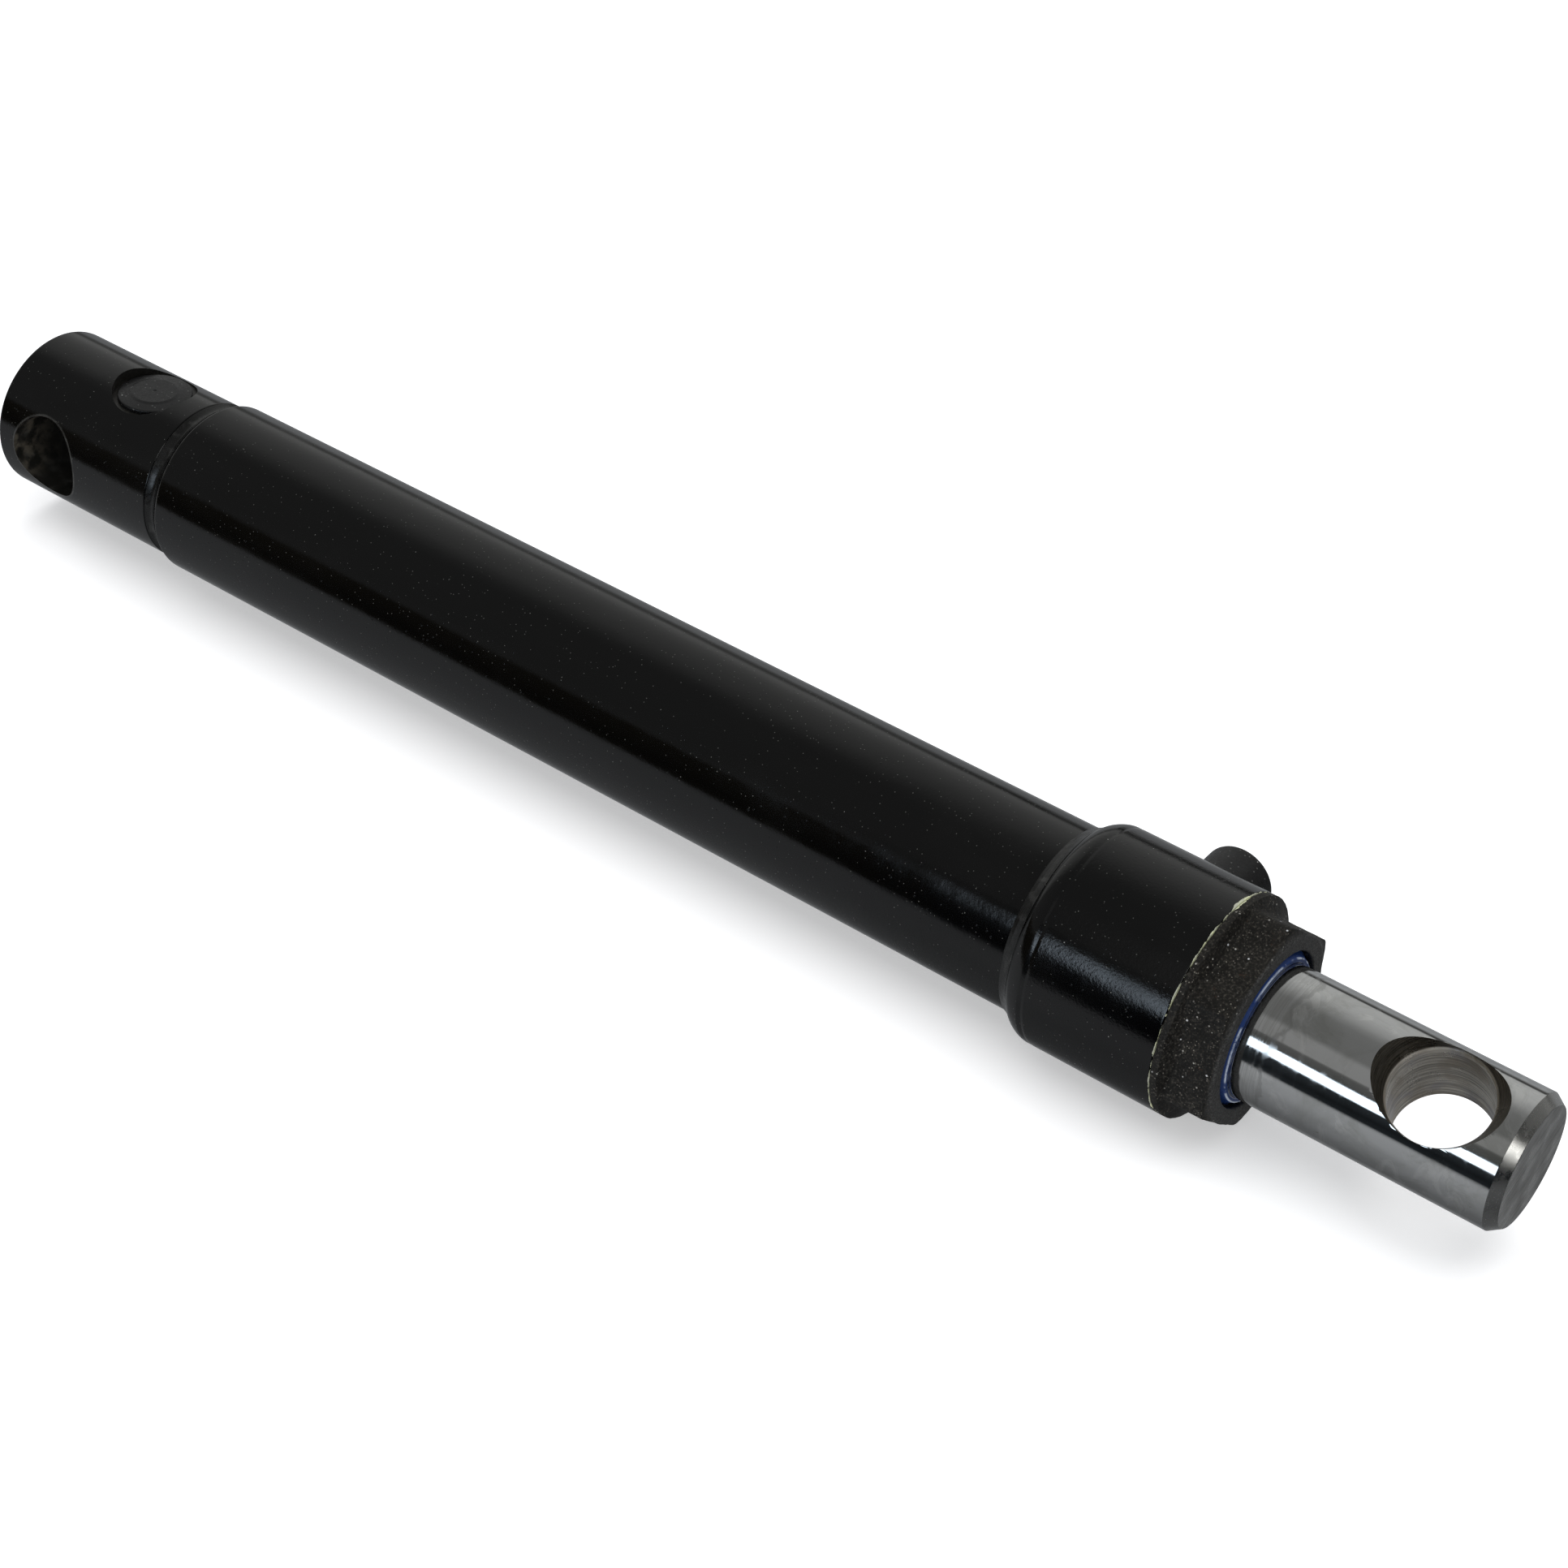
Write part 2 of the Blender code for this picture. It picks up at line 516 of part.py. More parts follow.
def build_piston(frame):
    # grooves: start and end from the piston's rear face, then the radius of the floor
    seal_groove = (9.0 * MM, 15.6 * MM, 18.4 * MM)
    static_groove = (11.0 * MM, 13.4 * MM, 14.6 * MM)
    wear_floor = 19.4 * MM
    rear_groove = (2.2 * MM, 7.2 * MM, wear_floor)
    front_groove = (17.4 * MM, 22.4 * MM, wear_floor)
    bore = SPIGOT_R + GAP
    profile = [(PISTON_LENGTH, PISTON_R)]
    for low, high, floor in (front_groove, seal_groove, rear_groove):
        profile += [(high, PISTON_R), (high, floor), (low, floor), (low, PISTON_R)]
    profile += [(0.0, PISTON_R), (0.0, bore)]
    low, high, floor = static_groove
    profile += [(low, bore), (low, floor), (high, floor), (high, bore), (PISTON_LENGTH, bore)]
    piston = turned("piston", profile, station(PISTON_X), "machined_steel", HIDDEN_SEGMENTS)

    static_x = PISTON_X + (low + high) / 2
    static_section_r = 0.65 * MM
    static_ring = o_ring("piston_static_o_ring", static_x, (bore + floor) / 2, static_section_r)

    nut_length = PISTON_X - GAP - PISTON_NUT_X
    nut_place = station(PISTON_NUT_X + nut_length / 2)
    lock_nut = hexagon("piston_nut", PISTON_NUT_ACROSS_CORNERS, nut_length, nut_place, parts)
    lock_nut.data.materials.append(materials["machined_steel"])
    boolean(lock_nut, cylinder("cut_piston_nut", bore, -nut_length, nut_length, nut_place))

    stop = plain_ring("stop_tube", ROD_SHOULDER_X, STOP_TUBE_END_X - ROD_SHOULDER_X, ROD_R + GAP,
                      PISTON_R - GAP, "machined_steel", SEGMENTS)
    hang_on(frame, piston, static_ring, lock_nut, stop)

    seal_low, seal_high, seal_floor = seal_groove
    middle = PISTON_X + (seal_low + seal_high) / 2
    expander_r = 0.95 * MM
    o_ring("piston_expander_ring", middle, seal_floor + expander_r + GAP, expander_r)
    bore_flat_r = BORE_R * math.cos(math.pi / SEGMENTS) - RUNNING
    seal_width = 6.0 * MM
    seal_inner = seal_floor + 2.4 * MM
    plain_ring("piston_seal", middle - seal_width / 2, seal_width, seal_inner, bore_flat_r, "filled_ptfe")
    for label, (low, high, floor) in (("rear", rear_groove), ("front", front_groove)):
        plain_ring(f"piston_wear_ring_{label}", PISTON_X + low + GAP, high - low - 2 * GAP, floor + GAP,
                   bore_flat_r, "nylon_wear")


clear_scene()
parts = new_collection("hydraulic_cylinder")
cutters = new_collection("cutters")
materials = {name: make_material(name) for name in MATERIALS}

build_base_eye()
build_base_weld()
build_barrel_tube()
build_head_bell()
build_bell_weld()
build_head_port()
build_base_port_plug()
build_gland_nut()
build_gland_seals()

rod_frame = bpy.data.objects.new("rod_frame", None)
parts.objects.link(rod_frame)
build_rod(rod_frame)
build_piston(rod_frame)
rod_frame.matrix_world = Matrix.Rotation(ROD_CLOCK, 4, "X")
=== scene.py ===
"""Double-acting hydraulic cylinder: fine visible pieces, finishes, studio light and camera.

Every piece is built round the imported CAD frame, in metres, with +X along the cylinder
axis towards the rod eye and +Z up. Object coordinates in the materials are therefore
the same metres, and they move with the body that a piece rides on.
"""
import json
import math

import bpy
import numpy as np
from mathutils import Matrix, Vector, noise


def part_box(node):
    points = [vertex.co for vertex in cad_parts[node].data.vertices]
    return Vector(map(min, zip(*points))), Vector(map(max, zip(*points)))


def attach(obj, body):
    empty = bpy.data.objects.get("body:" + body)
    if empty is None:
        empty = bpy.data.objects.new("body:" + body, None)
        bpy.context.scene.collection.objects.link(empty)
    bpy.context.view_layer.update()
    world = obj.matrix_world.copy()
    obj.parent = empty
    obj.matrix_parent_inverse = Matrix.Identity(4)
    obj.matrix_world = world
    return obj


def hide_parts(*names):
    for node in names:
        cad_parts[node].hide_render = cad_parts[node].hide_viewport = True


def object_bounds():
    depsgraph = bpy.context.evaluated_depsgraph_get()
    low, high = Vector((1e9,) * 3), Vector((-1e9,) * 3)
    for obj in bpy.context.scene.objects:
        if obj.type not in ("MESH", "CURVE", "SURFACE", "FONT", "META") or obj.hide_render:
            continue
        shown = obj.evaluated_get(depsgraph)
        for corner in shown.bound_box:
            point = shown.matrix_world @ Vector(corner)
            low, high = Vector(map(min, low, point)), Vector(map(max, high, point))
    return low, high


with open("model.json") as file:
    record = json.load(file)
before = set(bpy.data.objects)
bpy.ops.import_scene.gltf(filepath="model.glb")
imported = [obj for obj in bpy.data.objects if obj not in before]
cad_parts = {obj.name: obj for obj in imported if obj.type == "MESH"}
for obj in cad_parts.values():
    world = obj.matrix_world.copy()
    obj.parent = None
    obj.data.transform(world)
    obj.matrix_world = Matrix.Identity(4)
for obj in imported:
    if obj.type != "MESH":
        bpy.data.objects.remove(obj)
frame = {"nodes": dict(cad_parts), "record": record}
cad_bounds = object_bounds()

MM = 0.001
TAU = 2.0 * math.pi

# ---- stations and radii, read from the frame ---------------------------------------------
eye_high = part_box("base_eye")[1]
tube_low, tube_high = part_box("barrel_tube")
bell_low, bell_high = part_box("head_bell")
base_weld_low, base_weld_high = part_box("base_weld")
bell_weld_low, bell_weld_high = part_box("bell_weld")
nut_low, nut_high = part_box("gland_nut")
wiper_low, wiper_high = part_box("rod_wiper")
rod_low, rod_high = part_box("rod")
plug_low, plug_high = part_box("base_port_plug")
cap_low, cap_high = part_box("head_port_cap")
boss_low, boss_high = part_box("head_port_boss")
port_weld_low, port_weld_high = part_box("head_port_weld")

EYE_R = eye_high.z
TUBE_R = tube_high.z
BELL_R = bell_high.z
ROD_R = 19.05 * MM
BORE_R = 22.225 * MM
ROD_END_X = rod_high.x
BELL_END_X = bell_high.x
GLAND_FACE_X = nut_high.x
GLAND_NOSE_X = nut_low.x
BASE_PORT_X = (plug_low.x + plug_high.x) / 2
HEAD_PORT_X = (cap_low.x + cap_high.x) / 2
CAP_R = (cap_high.x - cap_low.x) / 2
PLUG_R = (plug_high.x - plug_low.x) / 2

BAR_END_X = 64.6 * MM
BASE_PIN_X = 20.4 * MM
BASE_PIN_R = 13.2 * MM
ROD_PIN_X = ROD_END_X - 24.8 * MM
ROD_PIN_R = 13.4 * MM
ROD_PIN_FLARE_START = 12.0 * MM
ROD_PIN_FLARE_SLOPE = 0.59
ROD_CLOCK = math.radians(25.0)
SPOTFACE_R = 12.9 * MM
SPOTFACE_Z = 21.6 * MM
PORT_THREAD_R = 7.1 * MM
PASSAGE_R = 4.0 * MM
HEAD_PASSAGE_R = 6.9 * MM
BOSS_R = 9.0 * MM
HEX_CORNER = math.radians(51.5)
HEX_ACROSS_FLATS = 53.6 * MM
WIPER_SEAT_X = GLAND_FACE_X - 6.5 * MM
WIPER_SEAT_R = 22.35 * MM
LAND_R = ROD_R + 0.4 * MM

ALONG_X = Matrix.Rotation(math.radians(90), 4, "Y")
ALONG_Y = Matrix.Rotation(math.radians(-90), 4, "X")
ALONG_Z = Matrix.Identity(4)


# ---- meshes -------------------------------------------------------------------------------
SHARP_ANGLE = math.radians(32.0)     # edges sharper than this stay sharp in the shading
BEVEL_ANGLE = math.radians(40.0)     # edges sharper than this are rounded after a cut
CORNER_STEPS = 6
SUPPORT = 0.3 * MM                   # how far from a corner its supporting points are
RIPPLE_R = 20.0 * MM                 # the circle that ripple's noise is read on


def rounded(points):
    """(h, r) pairs with the corners rounded off where a point carries a third number, its radius."""
    out = []
    count = len(points)
    for i, point in enumerate(points):
        if len(point) == 2:
            out.append(point)
            continue
        here = np.array(point[:2])
        before = np.array(points[(i - 1) % count][:2]) - here
        after = np.array(points[(i + 1) % count][:2]) - here
        before /= np.linalg.norm(before)
        after /= np.linalg.norm(after)
        half = math.acos(float(np.clip(before @ after, -1, 1))) / 2
        reach = point[2] / math.tan(half)
        centre = here + (before + after) / np.linalg.norm(before + after) * point[2] / math.sin(half)
        start = here + before * reach - centre
        end = here + after * reach - centre
        sweep = math.pi - 2 * half
        turn = math.copysign(1.0, start[0] * end[1] - start[1] * end[0])
        for k in range(CORNER_STEPS + 1):
            a = turn * sweep * k / CORNER_STEPS
            c, s = math.cos(a), math.sin(a)
            out.append((centre[0] + c * start[0] - s * start[1], centre[1] + s * start[0] + c * start[1]))
    return out


def densified(profile, closed, step=4.0 * MM):
    """The profile with points near each corner and along each long run, so shading stays true."""
    out = []
    ends = profile[1:] + ([profile[0]] if closed else [])
    for a, b in zip(profile, ends):
        out.append(a)
        length = math.dist(a, b)
        if length > 4 * SUPPORT:
            runs = max(1, int(length / step))
            shares = [SUPPORT / length, *(k / runs for k in range(1, runs)), 1 - SUPPORT / length]
            out += [(a[0] + (b[0] - a[0]) * t, a[1] + (b[1] - a[1]) * t) for t in shares]
    if not closed:
        out.append(profile[-1])
    return out


def ring_mesh(name, heights, radii, closed, place, columns):
    """Rings joined into a skin; radii is (rows, columns). A skin that isn't closed gets fans on the axis."""
    rows = len(heights)
    angles = np.arange(columns) / columns * TAU
    verts = np.zeros((rows, columns, 3))
    verts[:, :, 0] = radii * np.cos(angles)
    verts[:, :, 1] = radii * np.sin(angles)
    verts[:, :, 2] = np.broadcast_to(np.asarray(heights, float).reshape(rows, -1), (rows, columns))
    verts = [tuple(v) for v in verts.reshape(-1, 3)]
    faces = []
    for i in range(rows if closed else rows - 1):
        low, high = i * columns, ((i + 1) % rows) * columns
        for j in range(columns):
            k = (j + 1) % columns
            faces.append((low + j, high + j, high + k, low + k))
    if not closed:
        for row, flip in ((0, False), (rows - 1, True)):
            height = float(np.mean(np.asarray(heights[row])))
            verts.append((0.0, 0.0, height))
            tip = len(verts) - 1
            for j in range(columns):
                a, b = row * columns + j, row * columns + (j + 1) % columns
                faces.append((tip, b, a) if flip else (tip, a, b))
    mesh = bpy.data.meshes.new(name)
    mesh.from_pydata(verts, [], faces)
    mesh.transform(place)
    mesh.update()
    mesh.shade_smooth()
    mesh.set_sharp_from_angle(angle=SHARP_ANGLE)
    return mesh


def turned_mesh(name, profile, place, columns=192, wobble=None):
    """A turned mesh. Its profile, as (height, radius), runs from axis to axis or round a closed ring."""
    closed = profile[0][1] > 0.0
    points = densified(rounded(profile), closed)
    if not closed:
        points = [p for p in points if p[1] > 1e-7]
    heights = np.array([p[0] for p in points])
    radii = np.repeat(np.array([p[1] for p in points])[:, None], columns, axis=1)
    if wobble:
        angles = np.arange(columns) / columns * TAU
        radii = radii + np.array([[wobble(h, a) for a in angles] for h in heights])
    return ring_mesh(name, heights, radii, closed, place, columns)


def at(x, turn=ALONG_X):
    """Where a mesh goes that is turned about its own Z: at x on the axis, laid along a direction."""
    return Matrix.Translation((x, 0.0, 0.0)) @ turn


def add_piece(name, mesh, body, material, replaces):
    piece = bpy.data.objects.new(name, mesh)
    bpy.context.scene.collection.objects.link(piece)
    if not mesh.materials:
        mesh.materials.append(material)
    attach(piece, body)
    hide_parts(*replaces)


def cut(mesh, cutters, edge):
    """The mesh less each cutter, whose materials line the cuts, with sharp edges rounded by edge."""
    work = bpy.data.objects.new(mesh.name, mesh)
    bpy.context.scene.collection.objects.link(work)
    tools = []
    for cutter in cutters:
        tool = bpy.data.objects.new(cutter.name, cutter)
        bpy.context.scene.collection.objects.link(tool)
        tools.append(tool)
        step = work.modifiers.new("cut", "BOOLEAN")
        step.object = tool
        step.solver = "EXACT"
        step.material_mode = "TRANSFER"
    if edge:
        bevel = work.modifiers.new("edge", "BEVEL")
        bevel.width = edge
        bevel.segments = 3
        bevel.limit_method = "ANGLE"
        bevel.angle_limit = BEVEL_ANGLE
        bevel.use_clamp_overlap = True
        bevel.miter_outer = "MITER_ARC"
    weighted = work.modifiers.new("shade", "WEIGHTED_NORMAL")
    weighted.keep_sharp = True
    weighted.weight = 60
    bpy.context.view_layer.update()
    graph = bpy.context.evaluated_depsgraph_get()
    result = bpy.data.meshes.new_from_object(work.evaluated_get(graph), depsgraph=graph)
    for item in [work, *tools]:
        bpy.data.objects.remove(item, do_unlink=True)
    result.name = mesh.name
    return result


def smooth_step(low, high, value):
    """0 at low, 1 at high and an eased curve between them."""
    t = np.clip((value - low) / (high - low), 0.0, 1.0)
    return t * t * (3 - 2 * t)


def soft_max(a, b, k):
    """The larger of a and b, blended where they are closer than k."""
    h = np.maximum(k - np.abs(a - b), 0.0) / k
    return np.maximum(a, b) + h * h * k / 4


def soft_min(a, b, k):
    return -soft_max(-a, -b, k)


def ripple(scale, amount, seed=0.0):
    """A radial wobble for turned pieces: smooth noise of this size (m) and height (m)."""
    def wobble(height, angle):
        reach = RIPPLE_R / scale
        return amount * noise.noise((height / scale + seed, reach * math.cos(angle), reach * math.sin(angle)))
    return wobble


# ---- materials ------------------------------------------------------------------------------
class Graph:
    """A node tree. Its methods add nodes and hand back output sockets."""

    def __init__(self, tree):
        self.tree = tree

    def node(self, kind, **settings):
        made = self.tree.nodes.new(kind)
        for key, value in settings.items():
            setattr(made, key, value)
        return made

    def feed(self, socket, value):
        if isinstance(value, bpy.types.NodeSocket):
            self.tree.links.new(value, socket)
        else:
            socket.default_value = value

    def math(self, operation, a, b=0.0, clamp=False):
        made = self.node("ShaderNodeMath", operation=operation, use_clamp=clamp)
        self.feed(made.inputs[0], a)
        self.feed(made.inputs[1], b)
        return made.outputs[0]

    def times(self, *factors):
        product = factors[0]
        for factor in factors[1:]:
            product = self.math("MULTIPLY", product, factor)
        return product

    def plus(self, a, b, clamp=False):
        return self.math("ADD", a, b, clamp)

    def minus(self, a, b):
        return self.math("SUBTRACT", a, b)

    def between(self, value, low, high, to_low=0.0, to_high=1.0):
        """Eases from to_low to to_high while value goes from low to high."""
        made = self.node("ShaderNodeMapRange", interpolation_type="SMOOTHSTEP")
        self.feed(made.inputs["Value"], value)
        made.inputs["From Min"].default_value = low
        made.inputs["From Max"].default_value = high
        made.inputs["To Min"].default_value = to_low
        made.inputs["To Max"].default_value = to_high
        return made.outputs["Result"]

    def band(self, value, start, full, fall, end):
        """1 while value is from full to fall, eased down to 0 at start and at end."""
        return self.times(self.between(value, start, full), self.between(value, end, fall))

    def mix(self, share, a, b):
        made = self.node("ShaderNodeMix", data_type="RGBA")
        self.feed(made.inputs["Factor"], share)
        self.feed(made.inputs["A"], a if isinstance(a, bpy.types.NodeSocket) else (*a, 1.0))
        self.feed(made.inputs["B"], b if isinstance(b, bpy.types.NodeSocket) else (*b, 1.0))
        return made.outputs["Result"]


class Finish(Graph):
    """One procedural material, in object coordinates."""

    def __init__(self, name, metallic=0.0):
        self.material = bpy.data.materials.new(name)
        self.material.use_nodes = True
        super().__init__(self.material.node_tree)
        self.shader = self.tree.nodes["Principled BSDF"]
        self.shader.inputs["Metallic"].default_value = metallic
        self.coords = self.node("ShaderNodeTexCoord").outputs["Object"]
        self.normal = None

    def stretched(self, stretch=(1, 1, 1), turn=(0, 0, 0)):
        """Object coordinates, first turned about the axes and then scaled along them."""
        turned = self.node("ShaderNodeMapping")
        self.feed(turned.inputs["Vector"], self.coords)
        turned.inputs["Rotation"].default_value = turn
        made = self.node("ShaderNodeMapping")
        self.feed(made.inputs["Vector"], turned.outputs[0])
        made.inputs["Scale"].default_value = stretch
        return made.outputs[0]

    def noise(self, scale, detail=2.0, stretch=(1, 1, 1), turn=(0, 0, 0), rough=0.5, warp=0.0):
        made = self.node("ShaderNodeTexNoise")
        self.feed(made.inputs["Vector"], self.stretched(stretch, turn))
        made.inputs["Scale"].default_value = scale
        made.inputs["Detail"].default_value = detail
        made.inputs["Roughness"].default_value = rough
        made.inputs["Distortion"].default_value = warp
        return made.outputs["Fac"]

    def spots(self, scale, size, share):
        """1 inside small round spots, size in cells, in a share of the cells; 0 elsewhere."""
        made = self.node("ShaderNodeTexVoronoi")
        self.feed(made.inputs["Vector"], self.coords)
        made.inputs["Scale"].default_value = scale
        spot = self.between(made.outputs["Distance"], size, size * 0.6)
        parts = self.node("ShaderNodeSeparateColor")
        self.feed(parts.inputs[0], made.outputs["Color"])
        return self.times(spot, self.math("LESS_THAN", parts.outputs[0], share))

    def distance(self, a, b):
        return self.math("SQRT", self.plus(self.times(a, a), self.times(b, b)))

    def axis(self, letter, source=None):
        made = self.node("ShaderNodeSeparateXYZ")
        self.feed(made.inputs[0], source or self.coords)
        return made.outputs[letter]

    def bump(self, height, depth):
        """Adds relief on top of what is already there; depth is the height of 1.0 in metres."""
        made = self.node("ShaderNodeBump")
        made.inputs["Distance"].default_value = depth
        self.feed(made.inputs["Height"], height)
        if self.normal:
            self.feed(made.inputs["Normal"], self.normal)
        self.normal = made.outputs[0]

    def done(self, colour, roughness, metallic=None):
        self.feed(self.shader.inputs["Base Color"], colour)
        self.feed(self.shader.inputs["Roughness"], roughness)
        if metallic is not None:
            self.feed(self.shader.inputs["Metallic"], metallic)
        if self.normal:
            self.feed(self.shader.inputs["Normal"], self.normal)
        return self.material


BLACK = (0.0007, 0.0007, 0.0008)
# pale grey of real dust specks and dust film, also the colour of painted rim highlights on the gloss paint
DUST_AND_SHEEN = (0.22, 0.218, 0.205)
SEALANT = (0.62, 0.64, 0.42)


def sealant_width(f, low, high):
    """How far the pale sealant reaches from the joint between the bell and the gland, in metres."""
    width = f.between(f.noise(190.0, 4.0, rough=0.65), 0.36, 0.64, low, high)
    y = f.axis("Y")
    on_top = f.math("GREATER_THAN", f.axis("Z"), 0.0)
    blob = f.times(f.band(y, -1.6 * MM, 1.4 * MM, 5.5 * MM, 8.5 * MM), on_top)
    ragged = f.between(f.noise(420.0, 4.0, rough=0.7), 0.35, 0.6, 0.3, 1.0)
    return f.plus(width, f.times(blob, ragged, 0.55 * MM))


def gloss_paint():
    f = Finish("gloss_black_paint")
    x = f.axis("X")
    on_bell = f.between(x, bell_low.x - 1.0 * MM, bell_low.x + 6.0 * MM, 0.3, 1.0)
    peel = f.noise(420.0, 2.0)
    grain = f.noise(1150.0, 3.0, rough=0.6)
    wave = f.noise(70.0, 1.0)
    lines = f.noise(900.0, 3.0, stretch=(0.03, 1.0, 1.0))
    grit = f.spots(620.0, 0.20, 0.22)
    specks = f.spots(300.0, 0.058, 0.40)
    fine_specks = f.spots(700.0, 0.13, 0.55)
    smear = f.between(f.noise(45.0, 4.0, stretch=(0.5, 1.0, 1.0)), 0.48, 0.75)
    colour = f.mix(f.times(smear, 0.006), BLACK, DUST_AND_SHEEN)
    colour = f.mix(f.times(specks, f.between(on_bell, 0.3, 1.0, 0.45, 0.9)), colour, DUST_AND_SHEEN)
    # painted highlights: thin pale rings round the base pin hole's rim and along the tube's rounded start
    # stand in for the reflections of those rounded edges, broken into patches by noise
    rim_highlight_patches = f.between(f.noise(240.0, 4.0, rough=0.6), 0.35, 0.65, 0.3, 1.0)
    from_pin = f.distance(f.minus(x, BASE_PIN_X), f.axis("Z"))
    pin_rim_highlight = f.between(from_pin, BASE_PIN_R + 0.75 * MM, BASE_PIN_R + 0.35 * MM)
    tube_rim_highlight = f.band(f.minus(x, tube_low.x), 0.05 * MM, 0.3 * MM, 0.7 * MM, 1.1 * MM)
    painted_rim_highlights = f.times(f.plus(f.times(pin_rim_highlight, 0.16), f.times(tube_rim_highlight, 0.10)), rim_highlight_patches)
    colour = f.mix(painted_rim_highlights, colour, DUST_AND_SHEEN)
    colour = f.mix(f.times(fine_specks, 0.28), colour, DUST_AND_SHEEN)
    reach = sealant_width(f, -0.12 * MM, 0.24 * MM)
    sealed = f.math("GREATER_THAN", f.plus(x, reach), BELL_END_X + 0.20 * MM)
    pale = f.mix(f.between(f.noise(420.0, 3.0), 0.4, 0.6), SEALANT, (0.42, 0.43, 0.34))
    colour = f.mix(sealed, colour, pale)
    rough = f.between(f.noise(160.0, 3.0), 0.3, 0.7, 0.075, 0.12)
    rough = f.plus(rough, f.times(smear, 0.05))
    rough = f.plus(rough, f.times(f.plus(specks, sealed), 0.4), clamp=True)
    f.bump(wave, 0.055 * MM)
    f.bump(f.times(peel, f.between(on_bell, 0.3, 1.0, 1.0, 0.45)), 0.014 * MM)
    f.bump(f.times(grain, on_bell), 0.034 * MM)
    f.bump(lines, 0.0035 * MM)
    f.bump(grit, 0.03 * MM)
    return f.done(colour, rough)


def weld_paint():
    f = Finish("painted_weld")
    waves = f.noise(160.0, 2.0, stretch=(1.0, 0.7, 0.7))
    fine = f.noise(700.0, 3.0)
    dust = f.between(f.noise(240.0, 4.0), 0.5, 0.7)
    colour = f.mix(f.between(dust, 0.0, 1.0, 0.015, 0.08), BLACK, DUST_AND_SHEEN)
    f.bump(waves, 0.18 * MM)
    f.bump(fine, 0.02 * MM)
    return f.done(colour, f.between(fine, 0.3, 0.7, 0.20, 0.34))


def bore_paint():
    f = Finish("painted_bore")
    runs = f.noise(160.0, 2.0, stretch=(1.0, 0.35, 1.0))
    fine = f.noise(900.0, 3.0)
    dust = f.between(f.noise(260.0, 4.0), 0.5, 0.75)
    colour = f.mix(runs, (0.004, 0.004, 0.0035), (0.014, 0.013, 0.011))
    # painted sheen: a warm, lighter patch in the bore near the bar's end, on its -Y mouth, stands in for the
    # paint's reflection there
    by_end = f.between(f.axis("X"), 14.0 * MM, 8.0 * MM)
    by_mouth = f.between(f.axis("Y"), -4.0 * MM, -24.0 * MM)
    painted_sheen = f.times(by_end, by_mouth, f.between(f.noise(200.0, 4.0, rough=0.6), 0.42, 0.62))
    colour = f.mix(f.times(painted_sheen, 0.6), colour, (0.12, 0.105, 0.08))
    colour = f.mix(f.times(dust, 0.08), colour, DUST_AND_SHEEN)
    f.bump(runs, 0.02 * MM)
    f.bump(fine, 0.006 * MM)
    return f.done(colour, f.between(runs, 0.3, 0.7, 0.28, 0.4))


def cast_iron():
    f = Finish("cast_iron_black")
    f.shader.inputs["Specular IOR Level"].default_value = 0.30
    lumps = f.noise(330.0, 4.0, rough=0.6)
    grain = f.noise(1500.0, 3.0, rough=0.7)
    tone = f.noise(120.0, 5.0, rough=0.65)
    crowd = f.between(f.noise(150.0, 3.0, rough=0.6), 0.40, 0.62)
    specks = f.spots(1500.0, 0.34, 0.30)
    pale = f.spots(850.0, 0.26, 0.16)
    chips = f.spots(330.0, 0.12, 0.35)
    colour = f.mix(f.between(tone, 0.35, 0.68), (0.010, 0.0092, 0.0078), (0.022, 0.0200, 0.0165))
    colour = f.mix(f.between(grain, 0.40, 0.62, 0.75, 0.0), colour, (0.004, 0.0037, 0.0030))
    # light grain flecks: partly the casting's own texture, partly painted glints of its rough surface
    colour = f.mix(f.times(f.between(grain, 0.54, 0.68), 0.5), colour, (0.075, 0.068, 0.055))
    rust = f.between(f.noise(190.0, 5.0, rough=0.7), 0.62, 0.74)
    colour = f.mix(f.times(rust, 0.5), colour, (0.09, 0.036, 0.014))
    # specks and pale spots: partly the casting's own light specks, partly painted glints of its rough surface
    colour = f.mix(f.times(specks, f.times(crowd, 0.8)), colour, (0.20, 0.185, 0.155))
    colour = f.mix(f.times(pale, f.times(crowd, 0.9)), colour, (0.36, 0.35, 0.32))
    colour = f.mix(f.times(chips, 0.9), colour, (0.50, 0.51, 0.52))
    x = f.axis("X")
    front = f.between(x, GLAND_FACE_X - 1.0 * MM, GLAND_FACE_X - 0.15 * MM)
    face_grain = f.between(f.noise(1900.0, 3.0, rough=0.7), 0.40, 0.62)
    face_colour = f.mix(face_grain, (0.020, 0.020, 0.0195), (0.070, 0.070, 0.068))
    colour = f.mix(f.times(front, 0.75), colour, face_colour)
    reach = sealant_width(f, -0.12 * MM, 0.16 * MM)
    sealed = f.math("LESS_THAN", f.minus(x, reach), BELL_END_X + 0.32 * MM)
    colour = f.mix(f.times(sealed, 0.85), colour, SEALANT)
    f.bump(lumps, 0.20 * MM)
    f.bump(grain, 0.13 * MM)
    return f.done(colour, f.between(grain, 0.3, 0.7, 0.5, 0.72))


